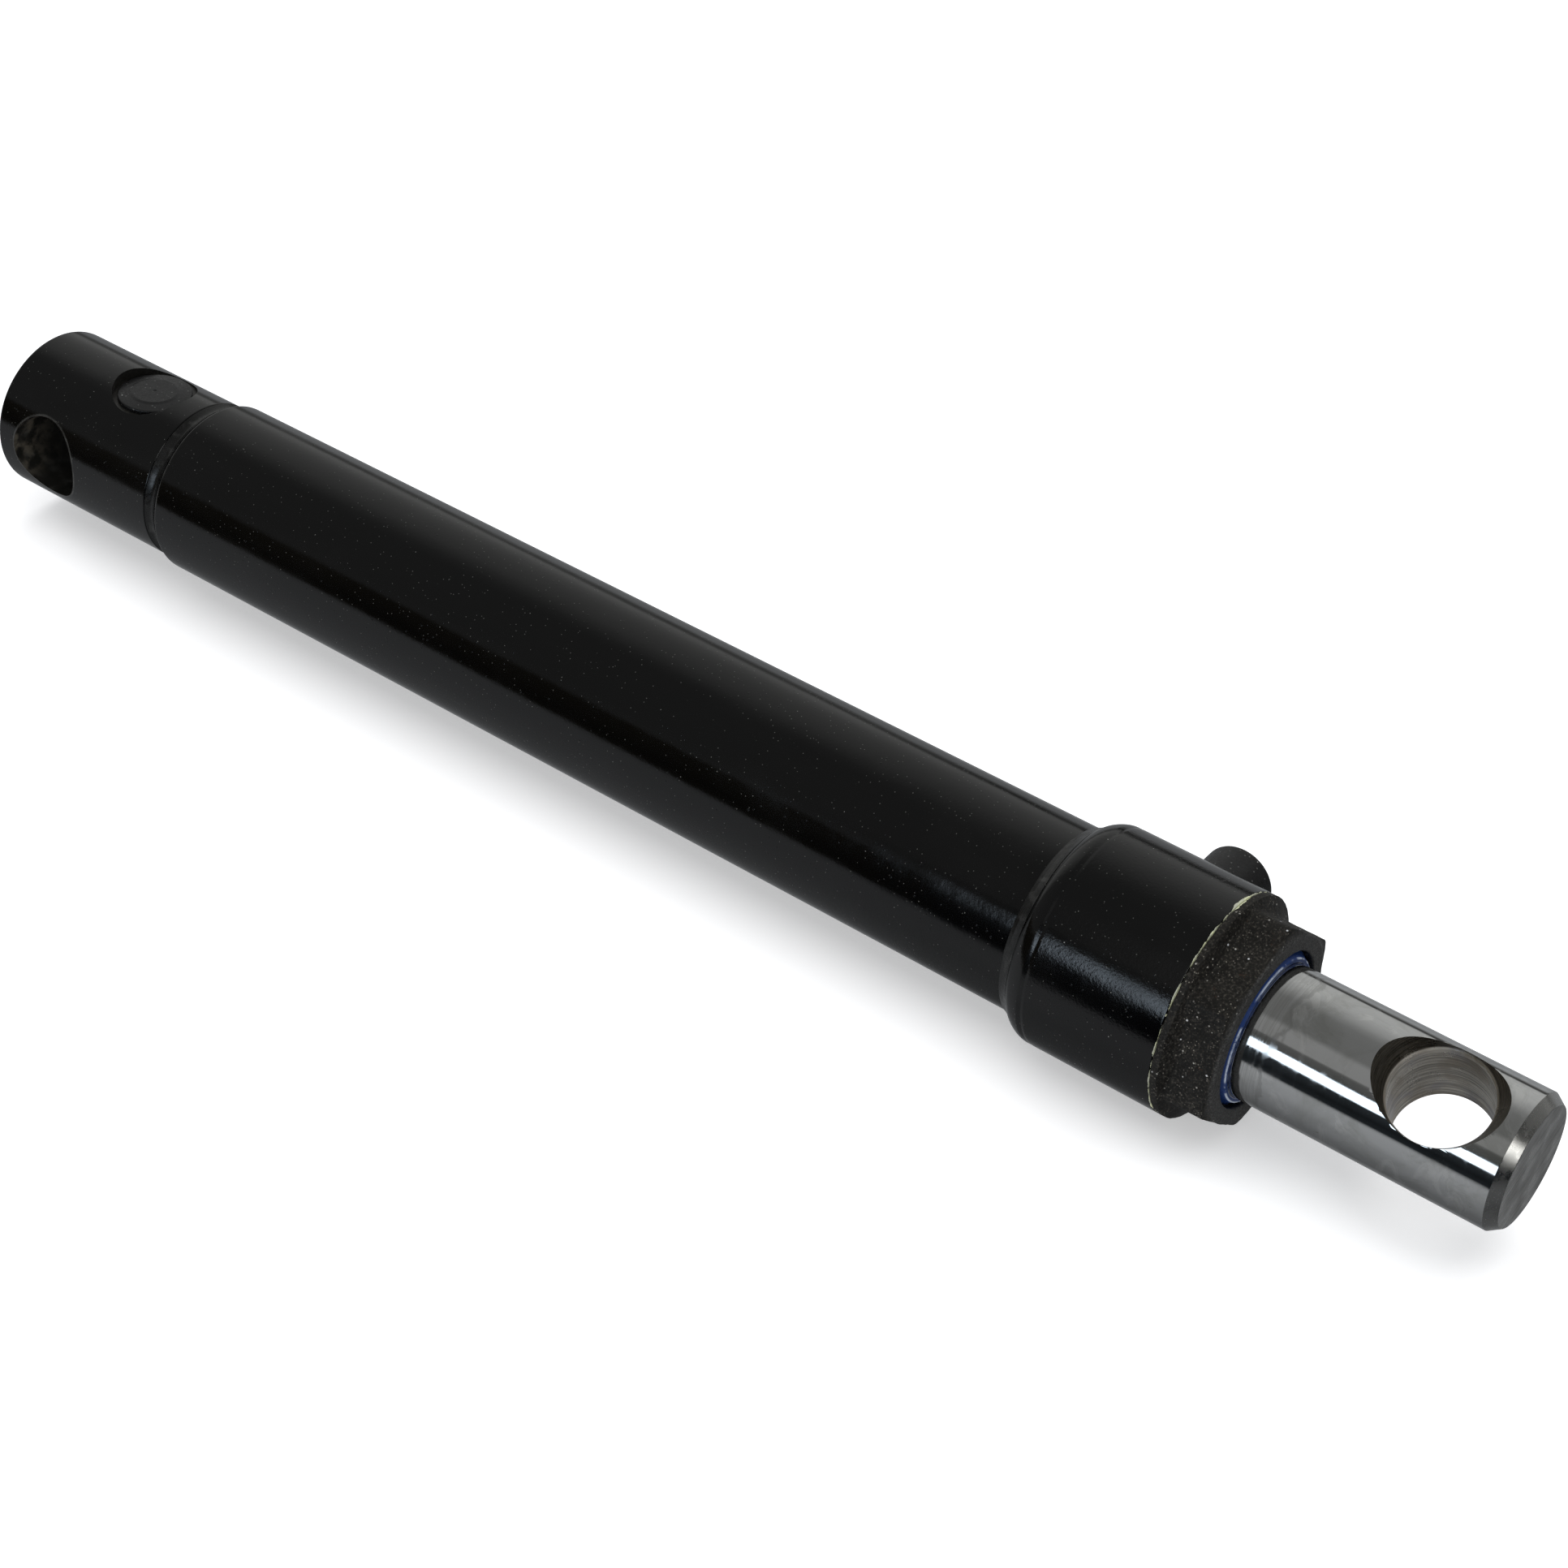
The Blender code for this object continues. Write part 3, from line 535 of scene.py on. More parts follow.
def hard_chrome():
    f = Finish("hard_chrome", metallic=1.0)
    x = f.axis("X")
    rings = f.noise(1.0, 4.0, stretch=(5200.0, 40.0, 40.0), rough=0.7)
    bands = f.noise(1.0, 3.0, stretch=(1500.0, 55.0, 55.0), rough=0.6)
    smudge = f.between(f.noise(70.0, 5.0, rough=0.6, warp=0.6), 0.46, 0.7)
    wiped = f.between(f.noise(130.0, 4.0, stretch=(1.0, 0.6, 0.6), rough=0.65, warp=1.2), 0.52, 0.66)
    lengthwise = f.noise(1.0, 3.0, stretch=(25.0, 1500.0, 1500.0))
    marks = f.spots(420.0, 0.10, 0.10)
    stains = f.between(f.noise(260.0, 5.0, rough=0.75), 0.66, 0.72)
    wander = f.between(f.noise(140.0, 3.0), 0.3, 0.7, -1.6 * MM, 1.6 * MM)
    out = f.minus(f.plus(x, wander), GLAND_FACE_X)
    by_gland = f.between(out, 9.6 * MM, 8.4 * MM)
    streaks = f.between(f.noise(1.0, 3.0, stretch=(2600.0, 75.0, 75.0), rough=0.65), 0.50, 0.64)
    scuffed = f.times(by_gland, streaks)
    worn_ring = f.band(out, 8.2 * MM, 9.2 * MM, 9.6 * MM, 10.4 * MM)
    smear = f.between(f.noise(55.0, 5.0, stretch=(0.7, 1.3, 1.3), rough=0.65, warp=1.6), 0.52, 0.64)
    colour = f.mix(smudge, (0.675, 0.68, 0.68), (0.58, 0.585, 0.57))
    colour = f.mix(f.times(smear, 0.40), colour, (0.47, 0.475, 0.45))
    colour = f.mix(f.times(wiped, 0.45), colour, (0.88, 0.88, 0.87))
    banded = f.times(by_gland, f.between(bands, 0.35, 0.65, 0.0, 0.5))
    colour = f.mix(banded, colour, (0.47, 0.47, 0.455))
    colour = f.mix(f.times(worn_ring, 0.4), colour, (0.35, 0.35, 0.34))
    colour = f.mix(f.times(stains, 0.45), colour, (0.20, 0.17, 0.11))
    colour = f.mix(f.times(marks, 0.6), colour, (0.16, 0.15, 0.14))
    rough = f.plus(f.between(smudge, 0.0, 1.0, 0.035, 0.075), f.times(wiped, 0.06))
    rough = f.plus(rough, f.times(scuffed, 0.11))
    rough = f.plus(rough, f.times(worn_ring, 0.12))
    f.bump(rings, 0.0016 * MM)
    f.bump(f.times(bands, by_gland), 0.0025 * MM)
    f.bump(lengthwise, 0.0010 * MM)
    f.bump(f.noise(110.0, 1.0), 0.010 * MM)
    return f.done(colour, rough)


def brushed_face():
    """The rod's sawn and faced end: diagonal brush marks."""
    f = Finish("brushed_end", metallic=1.0)
    lay = (math.radians(-20), 0, 0)
    marks = f.noise(1.0, 4.0, stretch=(300.0, 70.0, 3200.0), turn=lay, rough=0.7)
    broad = f.noise(1.0, 3.0, stretch=(300.0, 25.0, 800.0), turn=lay)
    tone = f.noise(160.0, 4.0)
    colour = f.mix(f.between(broad, 0.35, 0.65), (0.33, 0.325, 0.31), (0.46, 0.455, 0.44))
    colour = f.mix(f.times(f.between(marks, 0.53, 0.66), 0.55), colour, (0.14, 0.135, 0.125))
    rough = f.between(tone, 0.3, 0.7, 0.24, 0.40)
    f.bump(marks, 0.018 * MM)
    f.bump(broad, 0.02 * MM)
    return f.done(colour, rough)


def turned_chamfer():
    f = Finish("turned_chamfer", metallic=1.0)
    rings = f.noise(1.0, 4.0, stretch=(4200.0, 60.0, 60.0), rough=0.7)
    tone = f.noise(300.0, 3.0)
    colour = f.mix(tone, (0.44, 0.435, 0.42), (0.60, 0.60, 0.59))
    f.bump(rings, 0.012 * MM)
    return f.done(colour, f.between(tone, 0.3, 0.7, 0.22, 0.32))


def drilled_bore():
    """Machined steel inside the rod's pin hole, with grooves that run round its own axis."""
    f = Finish("drilled_bore", metallic=1.0)
    turned = f.stretched(turn=(-ROD_CLOCK, 0, 0))
    depth = f.axis("Z", turned)
    wave = f.math("SINE", f.times(depth, TAU / (0.42 * MM)))
    broad = f.noise(1.0, 4.0, stretch=(30.0, 30.0, 1500.0), turn=(-ROD_CLOCK, 0, 0), rough=0.75)
    fine = f.noise(1.0, 3.0, stretch=(90.0, 90.0, 4800.0), turn=(-ROD_CLOCK, 0, 0), rough=0.7)
    tone = f.noise(200.0, 5.0, rough=0.65)
    stain = f.between(f.noise(120.0, 4.0), 0.45, 0.62)
    blued = f.between(f.noise(90.0, 3.0), 0.52, 0.66)
    reach = f.distance(f.minus(f.axis("X", turned), ROD_PIN_X), f.axis("Y", turned))
    on_flare = f.between(reach, ROD_PIN_R + 0.25 * MM, ROD_PIN_R + 0.6 * MM)
    colour = f.mix(f.between(broad, 0.35, 0.62), (0.31, 0.285, 0.25), (0.82, 0.78, 0.70))
    colour = f.mix(f.times(stain, 0.5), colour, (0.34, 0.28, 0.21))
    colour = f.mix(f.times(blued, 0.35), colour, (0.36, 0.36, 0.44))
    flare_colour = f.mix(f.between(fine, 0.35, 0.65), (0.085, 0.078, 0.066), (0.24, 0.22, 0.19))
    colour = f.mix(on_flare, colour, flare_colour)
    f.bump(wave, 0.012 * MM)
    f.bump(broad, 0.07 * MM)
    f.bump(fine, 0.02 * MM)
    by_base = f.between(f.axis("X", turned), ROD_PIN_X + 2.0 * MM, ROD_PIN_X - 10.0 * MM, 1.0, 0.62)
    return f.done(colour, f.between(tone, 0.3, 0.7, 0.26, 0.40), f.math("MAXIMUM", by_base, on_flare))


def moulded_plastic():
    f = Finish("black_plastic")
    grain = f.noise(1200.0, 4.0, rough=0.6)
    mottle = f.noise(260.0, 4.0, rough=0.6)
    dust = f.spots(900.0, 0.24, 0.30)
    chips = f.spots(420.0, 0.10, 0.30)
    colour = f.mix(mottle, (0.002, 0.002, 0.0023), (0.007, 0.007, 0.0075))
    colour = f.mix(f.times(dust, 0.6), colour, (0.12, 0.12, 0.115))
    colour = f.mix(f.times(chips, 0.8), colour, (0.38, 0.38, 0.36))
    f.bump(grain, 0.035 * MM)
    f.bump(mottle, 0.05 * MM)
    return f.done(colour, f.between(grain, 0.3, 0.7, 0.26, 0.42))


def wiper_rubber():
    f = Finish("blue_polyurethane")
    scuff_and_fill_patches = f.between(f.noise(110.0, 5.0, rough=0.7), 0.44, 0.54)
    fine = f.noise(900.0, 4.0)
    clear = f.minus(f.distance(f.axis("Y"), f.axis("Z")), ROD_R)
    crest = f.band(clear, 0.95 * MM, 1.15 * MM, 1.4 * MM, 1.6 * MM)
    inner = f.between(clear, 0.45 * MM, 0.2 * MM)
    colour = f.mix(fine, (0.004, 0.022, 0.105), (0.007, 0.036, 0.16))
    colour = f.mix(f.times(scuff_and_fill_patches, crest, 0.8), colour, (0.50, 0.56, 0.64))
    # painted light: the inner flank next to the rod is lightened in patches, filling the shade that falls
    # between the lip and the rod
    colour = f.mix(f.times(scuff_and_fill_patches, inner, 0.5), colour, (0.45, 0.48, 0.52))
    f.shader.inputs["Specular IOR Level"].default_value = 0.30
    f.bump(fine, 0.03 * MM)
    return f.done(colour, f.between(fine, 0.3, 0.7, 0.34, 0.5))


def plain_finish(name, low, high, roughness, metallic=0.0, depth=0.02 * MM, stretch=(1, 1, 1)):
    """A hidden piece's finish: two tones, fine relief and varied gloss."""
    f = Finish(name, metallic)
    tone = f.noise(350.0, 4.0, stretch=stretch, rough=0.6)
    fine = f.noise(1400.0, 3.0, stretch=stretch)
    f.bump(fine, depth)
    return f.done(f.mix(tone, low, high), f.between(fine, 0.3, 0.7, roughness * 0.8, roughness * 1.25))


PAINT = gloss_paint()
WELD = weld_paint()
BORE_PAINT = bore_paint()
CAST = cast_iron()
CHROME = hard_chrome()
BRUSHED = brushed_face()
CHAMFER = turned_chamfer()
DRILLED = drilled_bore()
PLASTIC = moulded_plastic()
WIPER = wiper_rubber()

# for the CAD nodes, by slot: the ones that no fine piece replaces keep these in the picture
SLOT_FINISH = {
    "machined_steel": plain_finish("turned_steel", (0.36, 0.36, 0.37), (0.5, 0.5, 0.51), 0.28, 1.0,
                                   stretch=(8.0, 0.3, 0.3)),
    "nitrile_rubber": plain_finish("nitrile_rubber", (0.010, 0.010, 0.011), (0.022, 0.022, 0.023), 0.55),
    "filled_ptfe": plain_finish("filled_ptfe", (0.16, 0.085, 0.04), (0.24, 0.13, 0.06), 0.48,
                                depth=0.012 * MM),
    "nylon_wear": plain_finish("nylon_wear", (0.04, 0.13, 0.10), (0.065, 0.19, 0.14), 0.45, depth=0.012 * MM),
    "blue_polyurethane": WIPER,
    "gloss_black_paint": PAINT,
    "cast_iron_black": CAST,
    "hard_chrome": CHROME,
    "black_plastic": PLASTIC,
}


# ---- barrel pieces --------------------------------------------------------------------------
def with_materials(mesh, *materials):
    mesh.materials.clear()
    for material in materials:
        mesh.materials.append(material)
    return mesh


def build_base_eye():
    spigot_r = BORE_R - 0.3 * MM
    end = eye_high.x
    profile = [(end, 0.0), (end, spigot_r, 0.8 * MM), (BAR_END_X + 2.0 * MM, spigot_r),
               (BAR_END_X, EYE_R, 0.4 * MM), (0.0, EYE_R, 1.3 * MM), (0.0, 0.0)]
    bar = with_materials(turned_mesh("base_eye_fine", profile, at(0.0), 256), PAINT)

    reach = EYE_R + 4.0 * MM
    pin_profile = [(reach, 0.0), (reach, BASE_PIN_R), (-reach, BASE_PIN_R), (-reach, 0.0)]
    pin = with_materials(turned_mesh("cut_pin", pin_profile, at(BASE_PIN_X, ALONG_Y), 160), BORE_PAINT)
    mouth = 0.8 * MM
    thread_foot = -1.0 * MM
    drill_tip = -4.5 * MM
    port_profile = [(reach, 0.0), (reach, SPOTFACE_R), (SPOTFACE_Z, SPOTFACE_R),
                    (SPOTFACE_Z, PORT_THREAD_R + mouth), (SPOTFACE_Z - mouth, PORT_THREAD_R),
                    (thread_foot, PORT_THREAD_R), (drill_tip, 0.0)]
    port = with_materials(turned_mesh("cut_port", port_profile, at(BASE_PORT_X, ALONG_Z), 128), BORE_PAINT)
    passage_end = 50.0 * MM
    passage_profile = [(passage_end, 0.0), (passage_end, PASSAGE_R), (0.0, PASSAGE_R), (0.0, 0.0)]
    passage = with_materials(turned_mesh("cut_passage", passage_profile, at(BASE_PORT_X), 64), BORE_PAINT)
    mesh = cut(bar, [pin, port, passage], 0.7 * MM)
    add_piece("base_eye_fine", mesh, "barrel", PAINT, ["base_eye"])


def build_base_weld():
    """A concave groove weld, a little uneven, with a small ridge where it meets the tube."""
    start, end = base_weld_low.x, base_weld_high.x
    root = BORE_R + 0.1 * MM
    ridge = TUBE_R - EYE_R - 0.5 * MM
    hollow = 1.0 * MM
    crown = []
    steps = 14
    for i in range(steps + 1):
        t = i / steps
        rise = ridge * (1 - t) ** 2 - hollow * math.sin(math.pi * t)
        crown.append((end + (start - end) * t, EYE_R - 0.1 * MM + rise))
    profile = crown + [(start + 1.9 * MM, root), (end, root)]
    mesh = turned_mesh("base_weld_fine", profile, at(0.0), 256, ripple(8.0 * MM, 0.06 * MM))
    add_piece("base_weld_fine", mesh, "barrel", WELD, ["base_weld"])


def build_barrel_tube():
    start, end = tube_low.x, tube_high.x
    profile = [(end, TUBE_R), (start, TUBE_R, 0.9 * MM), (start, BORE_R), (end, BORE_R)]
    mesh = turned_mesh("barrel_tube_fine", profile, at(0.0), 256)
    add_piece("barrel_tube_fine", mesh, "barrel", PAINT, ["barrel_tube"])


def build_head_bell():
    shoulder = 7.2 * MM
    centre_x, centre_r = bell_low.x + 6.6 * MM, BELL_R - shoulder
    seat_end = tube_high.x + 0.3 * MM
    seat_r = TUBE_R + 0.3 * MM
    chamber_r = 24.5 * MM
    thread_r = 25.7 * MM
    counterbore_r = 28.1 * MM
    rim_x = BELL_END_X + 0.25 * MM      # closes the CAD's gap to the gland
    crease_x = centre_x + 0.9 * MM
    profile = [(rim_x, BELL_R, 0.35 * MM), (crease_x + 0.8 * MM, BELL_R),
               (crease_x + 0.35 * MM, BELL_R - 0.05 * MM), (crease_x, BELL_R - 0.13 * MM),
               (crease_x - 0.35 * MM, BELL_R - 0.05 * MM)]
    for degrees in np.linspace(93, 163, 25):
        a = math.radians(degrees)
        profile.append((centre_x + shoulder * math.cos(a), centre_r + shoulder * math.sin(a)))
    profile += [(bell_low.x + 0.4 * MM, seat_r), (seat_end, seat_r), (seat_end, chamber_r),
                (GLAND_NOSE_X - 0.6 * MM, chamber_r), (GLAND_NOSE_X - 0.6 * MM, thread_r),
                (BELL_END_X - 3.3 * MM, thread_r), (BELL_END_X - 3.3 * MM, counterbore_r),
                (rim_x, counterbore_r)]

    def flow(height, angle):
        """Uneven weld metal on the shoulder, none on the bell's turned part."""
        share = float(smooth_step(crease_x, bell_low.x + 3.0 * MM, height)) if height < crease_x else 0.0
        return share * ripple(7.0 * MM, 0.16 * MM)(height, angle) - share * 0.1 * MM

    bell = with_materials(turned_mesh("head_bell_fine", profile, at(0.0), 256, flow), PAINT)
    top, foot = 45.0 * MM, 20.0 * MM
    hole_profile = [(top, 0.0), (top, HEAD_PASSAGE_R), (foot, HEAD_PASSAGE_R), (foot, 0.0)]
    hole = with_materials(turned_mesh("cut_head_port", hole_profile, at(HEAD_PORT_X, ALONG_Y), 96), PAINT)
    add_piece("head_bell_fine", cut(bell, [hole], 0.0), "barrel", PAINT, ["head_bell"])


def build_bell_weld():
    start, end = bell_weld_low.x, bell_weld_high.x + 1.6 * MM
    foot = TUBE_R + 0.02 * MM
    top = bell_weld_high.z
    profile = [(end, top + 1.1 * MM), (end - 1.1 * MM, top + 0.25 * MM, 1.2 * MM),
               (end - 2.3 * MM, top - 0.45 * MM, 1.2 * MM), (start + 0.35 * MM, foot + 0.35 * MM, 0.25 * MM),
               (start, foot + 0.02 * MM), (start, foot), (end, foot)]
    mesh = turned_mesh("bell_weld_fine", profile, at(0.0), 256, ripple(6.0 * MM, 0.07 * MM, 3.0))
    add_piece("bell_weld_fine", mesh, "barrel", WELD, ["bell_weld"])


def build_head_port():
    place = at(HEAD_PORT_X, ALONG_Y)
    seat = boss_low.y + 6.05 * MM
    top = boss_high.y
    spigot_r, bore_r, thread_r = 6.6 * MM, 4.5 * MM, 6.4 * MM
    boss_profile = [(top, BOSS_R, 0.6 * MM), (seat, BOSS_R), (seat, spigot_r), (boss_low.y, spigot_r),
                    (boss_low.y, bore_r), (31.0 * MM, bore_r), (32.5 * MM, thread_r),
                    (top, thread_r, 0.4 * MM)]
    mesh = turned_mesh("head_port_boss_fine", boss_profile, place, 128)
    add_piece("head_port_boss_fine", mesh, "barrel", PAINT, ["head_port_boss"])

    foot = port_weld_low.y
    weld_profile = [(port_weld_high.y, BOSS_R + 0.4 * MM), (33.4 * MM, 10.2 * MM, 1.5 * MM),
                    (32.2 * MM, 11.6 * MM, 1.5 * MM), (30.0 * MM, 12.8 * MM), (foot, 12.8 * MM),
                    (foot, BOSS_R + 0.3 * MM), (port_weld_high.y, BOSS_R + 0.3 * MM)]
    weld = turned_mesh("head_port_weld_fine", weld_profile, place, 128, ripple(4.0 * MM, 0.25 * MM, 7.0))
    half = 20.0 * MM
    envelope_r = BELL_R + 0.02 * MM
    envelope_profile = [(half, 0.0), (half, envelope_r), (-half, envelope_r), (-half, 0.0)]
    envelope = turned_mesh("cut_envelope", envelope_profile, at(HEAD_PORT_X), 256)
    with_materials(weld, WELD)
    with_materials(envelope, WELD)
    add_piece("head_port_weld_fine", cut(weld, [envelope], 0.0), "barrel", WELD,
              ["head_port_weld"])

    crown = cap_high.y
    skirt = cap_low.y
    dish = crown - 0.25 * MM
    gap = 0.3 * MM
    cap_profile = [(dish, 0.0), (dish, 5.6 * MM, 0.2 * MM), (crown, 6.2 * MM, 0.2 * MM),
                   (crown, CAP_R, 1.3 * MM), (skirt + 1.2 * MM, CAP_R - 0.25 * MM),
                   (skirt + 1.0 * MM, CAP_R, 0.15 * MM), (skirt, CAP_R, 0.2 * MM),
                   (skirt, BOSS_R + gap), (top + gap, BOSS_R + gap), (top + gap, 0.0)]
    mesh = turned_mesh("head_port_cap_fine", cap_profile, place, 128)
    add_piece("head_port_cap_fine", mesh, "barrel", PLASTIC, ["head_port_cap"])


def build_base_port_plug():
    top = plug_high.z
    seat = SPOTFACE_Z + 0.05 * MM
    shank_r = PORT_THREAD_R - 0.3 * MM
    foot = plug_low.z
    dimple = top - 0.2 * MM
    chamfer = 1.0 * MM
    profile = [(dimple, 0.0), (dimple, 0.35 * MM), (top, 0.6 * MM, 0.1 * MM), (top, 6.9 * MM, 0.9 * MM),
               (top - 0.28 * MM, 7.9 * MM, 0.7 * MM), (top - 0.8 * MM, PLUG_R, 0.45 * MM),
               (seat, PLUG_R), (seat, shank_r), (foot + chamfer, shank_r), (foot, shank_r - chamfer),
               (foot, 0.0)]
    mesh = turned_mesh("base_port_plug_fine", profile, at(BASE_PORT_X, ALONG_Z), 128)
    add_piece("base_port_plug_fine", mesh, "barrel", PLASTIC, ["base_port_plug"])


# ---- gland ----------------------------------------------------------------------------------
def build_gland_nut():
    """The cast gland: a hexagon blended into a round flange, over its turned nose and bore."""
    corner_r, corner_soft = 30.55 * MM, 1.5 * MM
    chamfer_r, chamfer_slope, chamfer_soft = 25.5 * MM, 4.4, 0.8 * MM
    flange_x, flange_width = BELL_END_X + 0.3 * MM, 2.2 * MM
    fillet_drop, fillet_length, fillet_soft = 5.2 * MM, 3.6 * MM, 1.2 * MM
    edge, edge_drop = 0.4 * MM, 0.35 * MM
    grit_size, grit_height, grit_sink = 2.6 * MM, 0.13 * MM, 0.06 * MM
    columns, rows = 360, 64
    # the mesh's angle 0 is world -Z once laid along X, and it turns towards +Y
    angles = np.arange(columns) / columns * TAU
    sector = math.pi / 3
    corner = (math.pi + angles - HEX_CORNER + sector / 2) % sector - sector / 2
    hexagon = HEX_ACROSS_FLATS / 2 / np.cos(sector / 2 - np.abs(corner))
    hexagon = soft_min(hexagon, corner_r, corner_soft)
    heights, radii = [], []
    for i in range(rows, -1, -1):
        x = flange_x + (GLAND_FACE_X - flange_x) * i / rows
        back = x - flange_x
        rim = BELL_R - edge_drop * max(0.0, 1 - back / edge) ** 2
        slope = min(1.0, max(0.0, back - flange_width) / fillet_length)
        flange = rim - fillet_drop * math.sin(slope * math.pi / 2)
        body = soft_min(hexagon, chamfer_r + (GLAND_FACE_X - x) * chamfer_slope, chamfer_soft)
        ring = soft_max(flange, body, fillet_soft)
        across = ring / grit_size
        places = zip(across * np.cos(angles), across * np.sin(angles))
        grit = np.array([noise.noise((x / grit_size, y, z)) for y, z in places])
        heights.append(x)
        radii.append(np.minimum(ring + grit_height * grit - grit_sink, BELL_R))

    thread_end, thread_r, nose_r = BELL_END_X - 3.5 * MM, 25.0 * MM, 25.4 * MM
    seal_x, seal_width, seal_r = 425.5 * MM, 7.0 * MM, 23.6 * MM
    guide_x, guide_width, guide_r = GLAND_NOSE_X + 1.5 * MM, 6.5 * MM, 21.6 * MM
    face_r = 25.1 * MM
    inner = [(flange_x, thread_r), (thread_end, thread_r), (thread_end - 0.4 * MM, nose_r),
             (GLAND_NOSE_X, nose_r, 0.8 * MM), (GLAND_NOSE_X, LAND_R), (guide_x, LAND_R), (guide_x, guide_r),
             (guide_x + guide_width, guide_r), (guide_x + guide_width, LAND_R), (seal_x, LAND_R),
             (seal_x, seal_r), (seal_x + seal_width, seal_r), (seal_x + seal_width, LAND_R),
             (WIPER_SEAT_X, LAND_R), (WIPER_SEAT_X, WIPER_SEAT_R), (GLAND_FACE_X, WIPER_SEAT_R, 0.45 * MM),
             (GLAND_FACE_X, face_r)]
    for height, radius in densified(rounded([(flange_x, BELL_R - 0.5 * MM)] + inner)[1:], False, 3.0 * MM):
        heights.append(height)
        radii.append(np.full(columns, radius))
    mesh = ring_mesh("gland_nut_fine", heights, np.array(radii), True, at(0.0), columns)
    add_piece("gland_nut_fine", mesh, "barrel", CAST, ["gland_nut"])


def build_rod_wiper():
    start = wiper_low.x
    lip = wiper_high.x
    outer = wiper_high.z
    clear = ROD_R + 0.06 * MM
    crest = lip + 0.45 * MM
    heel = lip - 1.9 * MM
    profile = [(crest, clear + 1.25 * MM, 0.2 * MM), (heel + 0.9 * MM, clear + 2.1 * MM, 0.5 * MM),
               (heel, outer, 0.3 * MM), (start, outer), (start, clear + 0.9 * MM),
               (heel - 0.5 * MM, clear + 0.6 * MM), (lip - 0.9 * MM, clear),
               (crest - 0.1 * MM, clear + 0.03 * MM, 0.1 * MM)]
    mesh = turned_mesh("rod_wiper_fine", profile, at(0.0), 256)
    add_piece("rod_wiper_fine", mesh, "barrel", WIPER, ["rod_wiper"])


# ---- rod ------------------------------------------------------------------------------------
def build_rod():
    shoulder_x = 117.0 * MM
    spigot_r = 12.7 * MM
    tail = rod_low.x
    tail_chamfer = 1.2 * MM
    chamfer_x, chamfer_r = 3.1 * MM, 2.15 * MM
    profile = [(ROD_END_X, 0.0), (ROD_END_X, ROD_R - chamfer_r, 0.2 * MM),
               (ROD_END_X - chamfer_x, ROD_R, 0.35 * MM), (shoulder_x, ROD_R), (shoulder_x, spigot_r),
               (tail + tail_chamfer, spigot_r), (tail, spigot_r - tail_chamfer), (tail, 0.0)]
    bar = with_materials(turned_mesh("rod_fine", profile, at(0.0), 256), CHROME, BRUSHED, CHAMFER)
    within = 0.05 * MM
    for face in bar.polygons:
        radius = math.hypot(face.center.y, face.center.z)
        if face.center.x > ROD_END_X - chamfer_x + within:
            face.material_index = 1 if radius < ROD_R - chamfer_r - within else 2

    reach = ROD_R + 3.0 * MM
    flare = ROD_PIN_R + (reach - ROD_PIN_FLARE_START) * ROD_PIN_FLARE_SLOPE
    hole_profile = [(reach, 0.0), (reach, flare), (ROD_PIN_FLARE_START, ROD_PIN_R, 0.3 * MM),
                    (-ROD_PIN_FLARE_START, ROD_PIN_R, 0.3 * MM), (-reach, flare), (-reach, 0.0)]
    place = Matrix.Rotation(ROD_CLOCK, 4, "X") @ at(ROD_PIN_X, ALONG_Z)
    hole = with_materials(turned_mesh("cut_rod_pin", hole_profile, place, 192), DRILLED)
    mesh = cut(bar, [hole], 0.22 * MM)
    add_piece("rod_fine", mesh, "rod_and_piston", CHROME, ["rod"])


build_base_eye()
build_base_weld()
build_barrel_tube()
build_head_bell()
build_bell_weld()
build_head_port()
build_base_port_plug()
build_gland_nut()
build_rod_wiper()
build_rod()

slots = {row["node"]: row["material_slot"] for row in frame["record"]["subparts"]}
for node_name, node in frame["nodes"].items():
    for holder in node.material_slots:
        holder.material = SLOT_FINISH[slots[node_name]]


# ---- floor, light and camera ----------------------------------------------------------------
FLOOR_Z = cad_bounds[0].z - 0.05 * MM
FLOOR_SIZE = 40.0
FLOOR_GLOW = 0.42
LAMP_SIZE = 2.2
LAMP_POWER = 24.0
LAMP_PLACE = (0.35, -0.35, 1.7)
LAMP_TILT = math.radians(-12)
WHITE = (1.0, 1.0, 1.0)
BLACKOUT = (0.0, 0.0, 0.0)
SOFT_FILL = (0.50, 0.51, 0.53)

# What the room looks like to a mirror, as (degrees round the cylinder's axis, level). 0 faces
# -Y, 90 is overhead, 180 faces +Y and -90 is straight down. ROOM_FAR is what directions that
# lean far towards -X meet, and ROOM_NEAR what all the others meet.
ROOM_FAR = [
    (-180, 0.26), (-176, 0.36), (-165, 0.26), (-151, 0.27), (-125, 0.24), (-103, 0.185),
    (-87, 0.20), (-71, 0.25), (-47, 0.32), (-23, 0.37), (-17.5, 0.35), (-14.5, 0.03), (-7, 0.02),
    (5, 0.035), (16, 0.045), (20, 0.17), (33, 0.165), (60, 0.17), (89, 0.165), (98, 0.20),
    (106, 0.28), (117, 0.38), (129, 0.41), (141, 0.42), (153, 0.44), (161, 0.50), (167, 0.50),
    (171, 0.20), (175, 0.14), (180, 0.26),
]
ROOM_NEAR = [
    (-180, 0.24), (-176, 0.34), (-163, 0.27), (-151, 0.33), (-125, 0.22), (-103, 0.11),
    (-87, 0.13), (-71, 0.18), (-55, 0.23), (-39, 0.31), (-24, 0.34), (-21, 0.30), (-17, 0.02),
    (-8, 0.012), (4, 0.03), (16, 0.05), (24, 0.09), (32, 0.10), (36, 0.155), (60, 0.165),
    (89, 0.165), (103, 0.18), (112, 0.24), (121, 0.33), (137, 0.45), (161, 0.48), (168, 0.45),
    (171, 0.06), (175, 0.06), (178, 0.24),
]
ROOM_TINT_LOW = (0.99, 1.02, 1.05)   # below the horizon
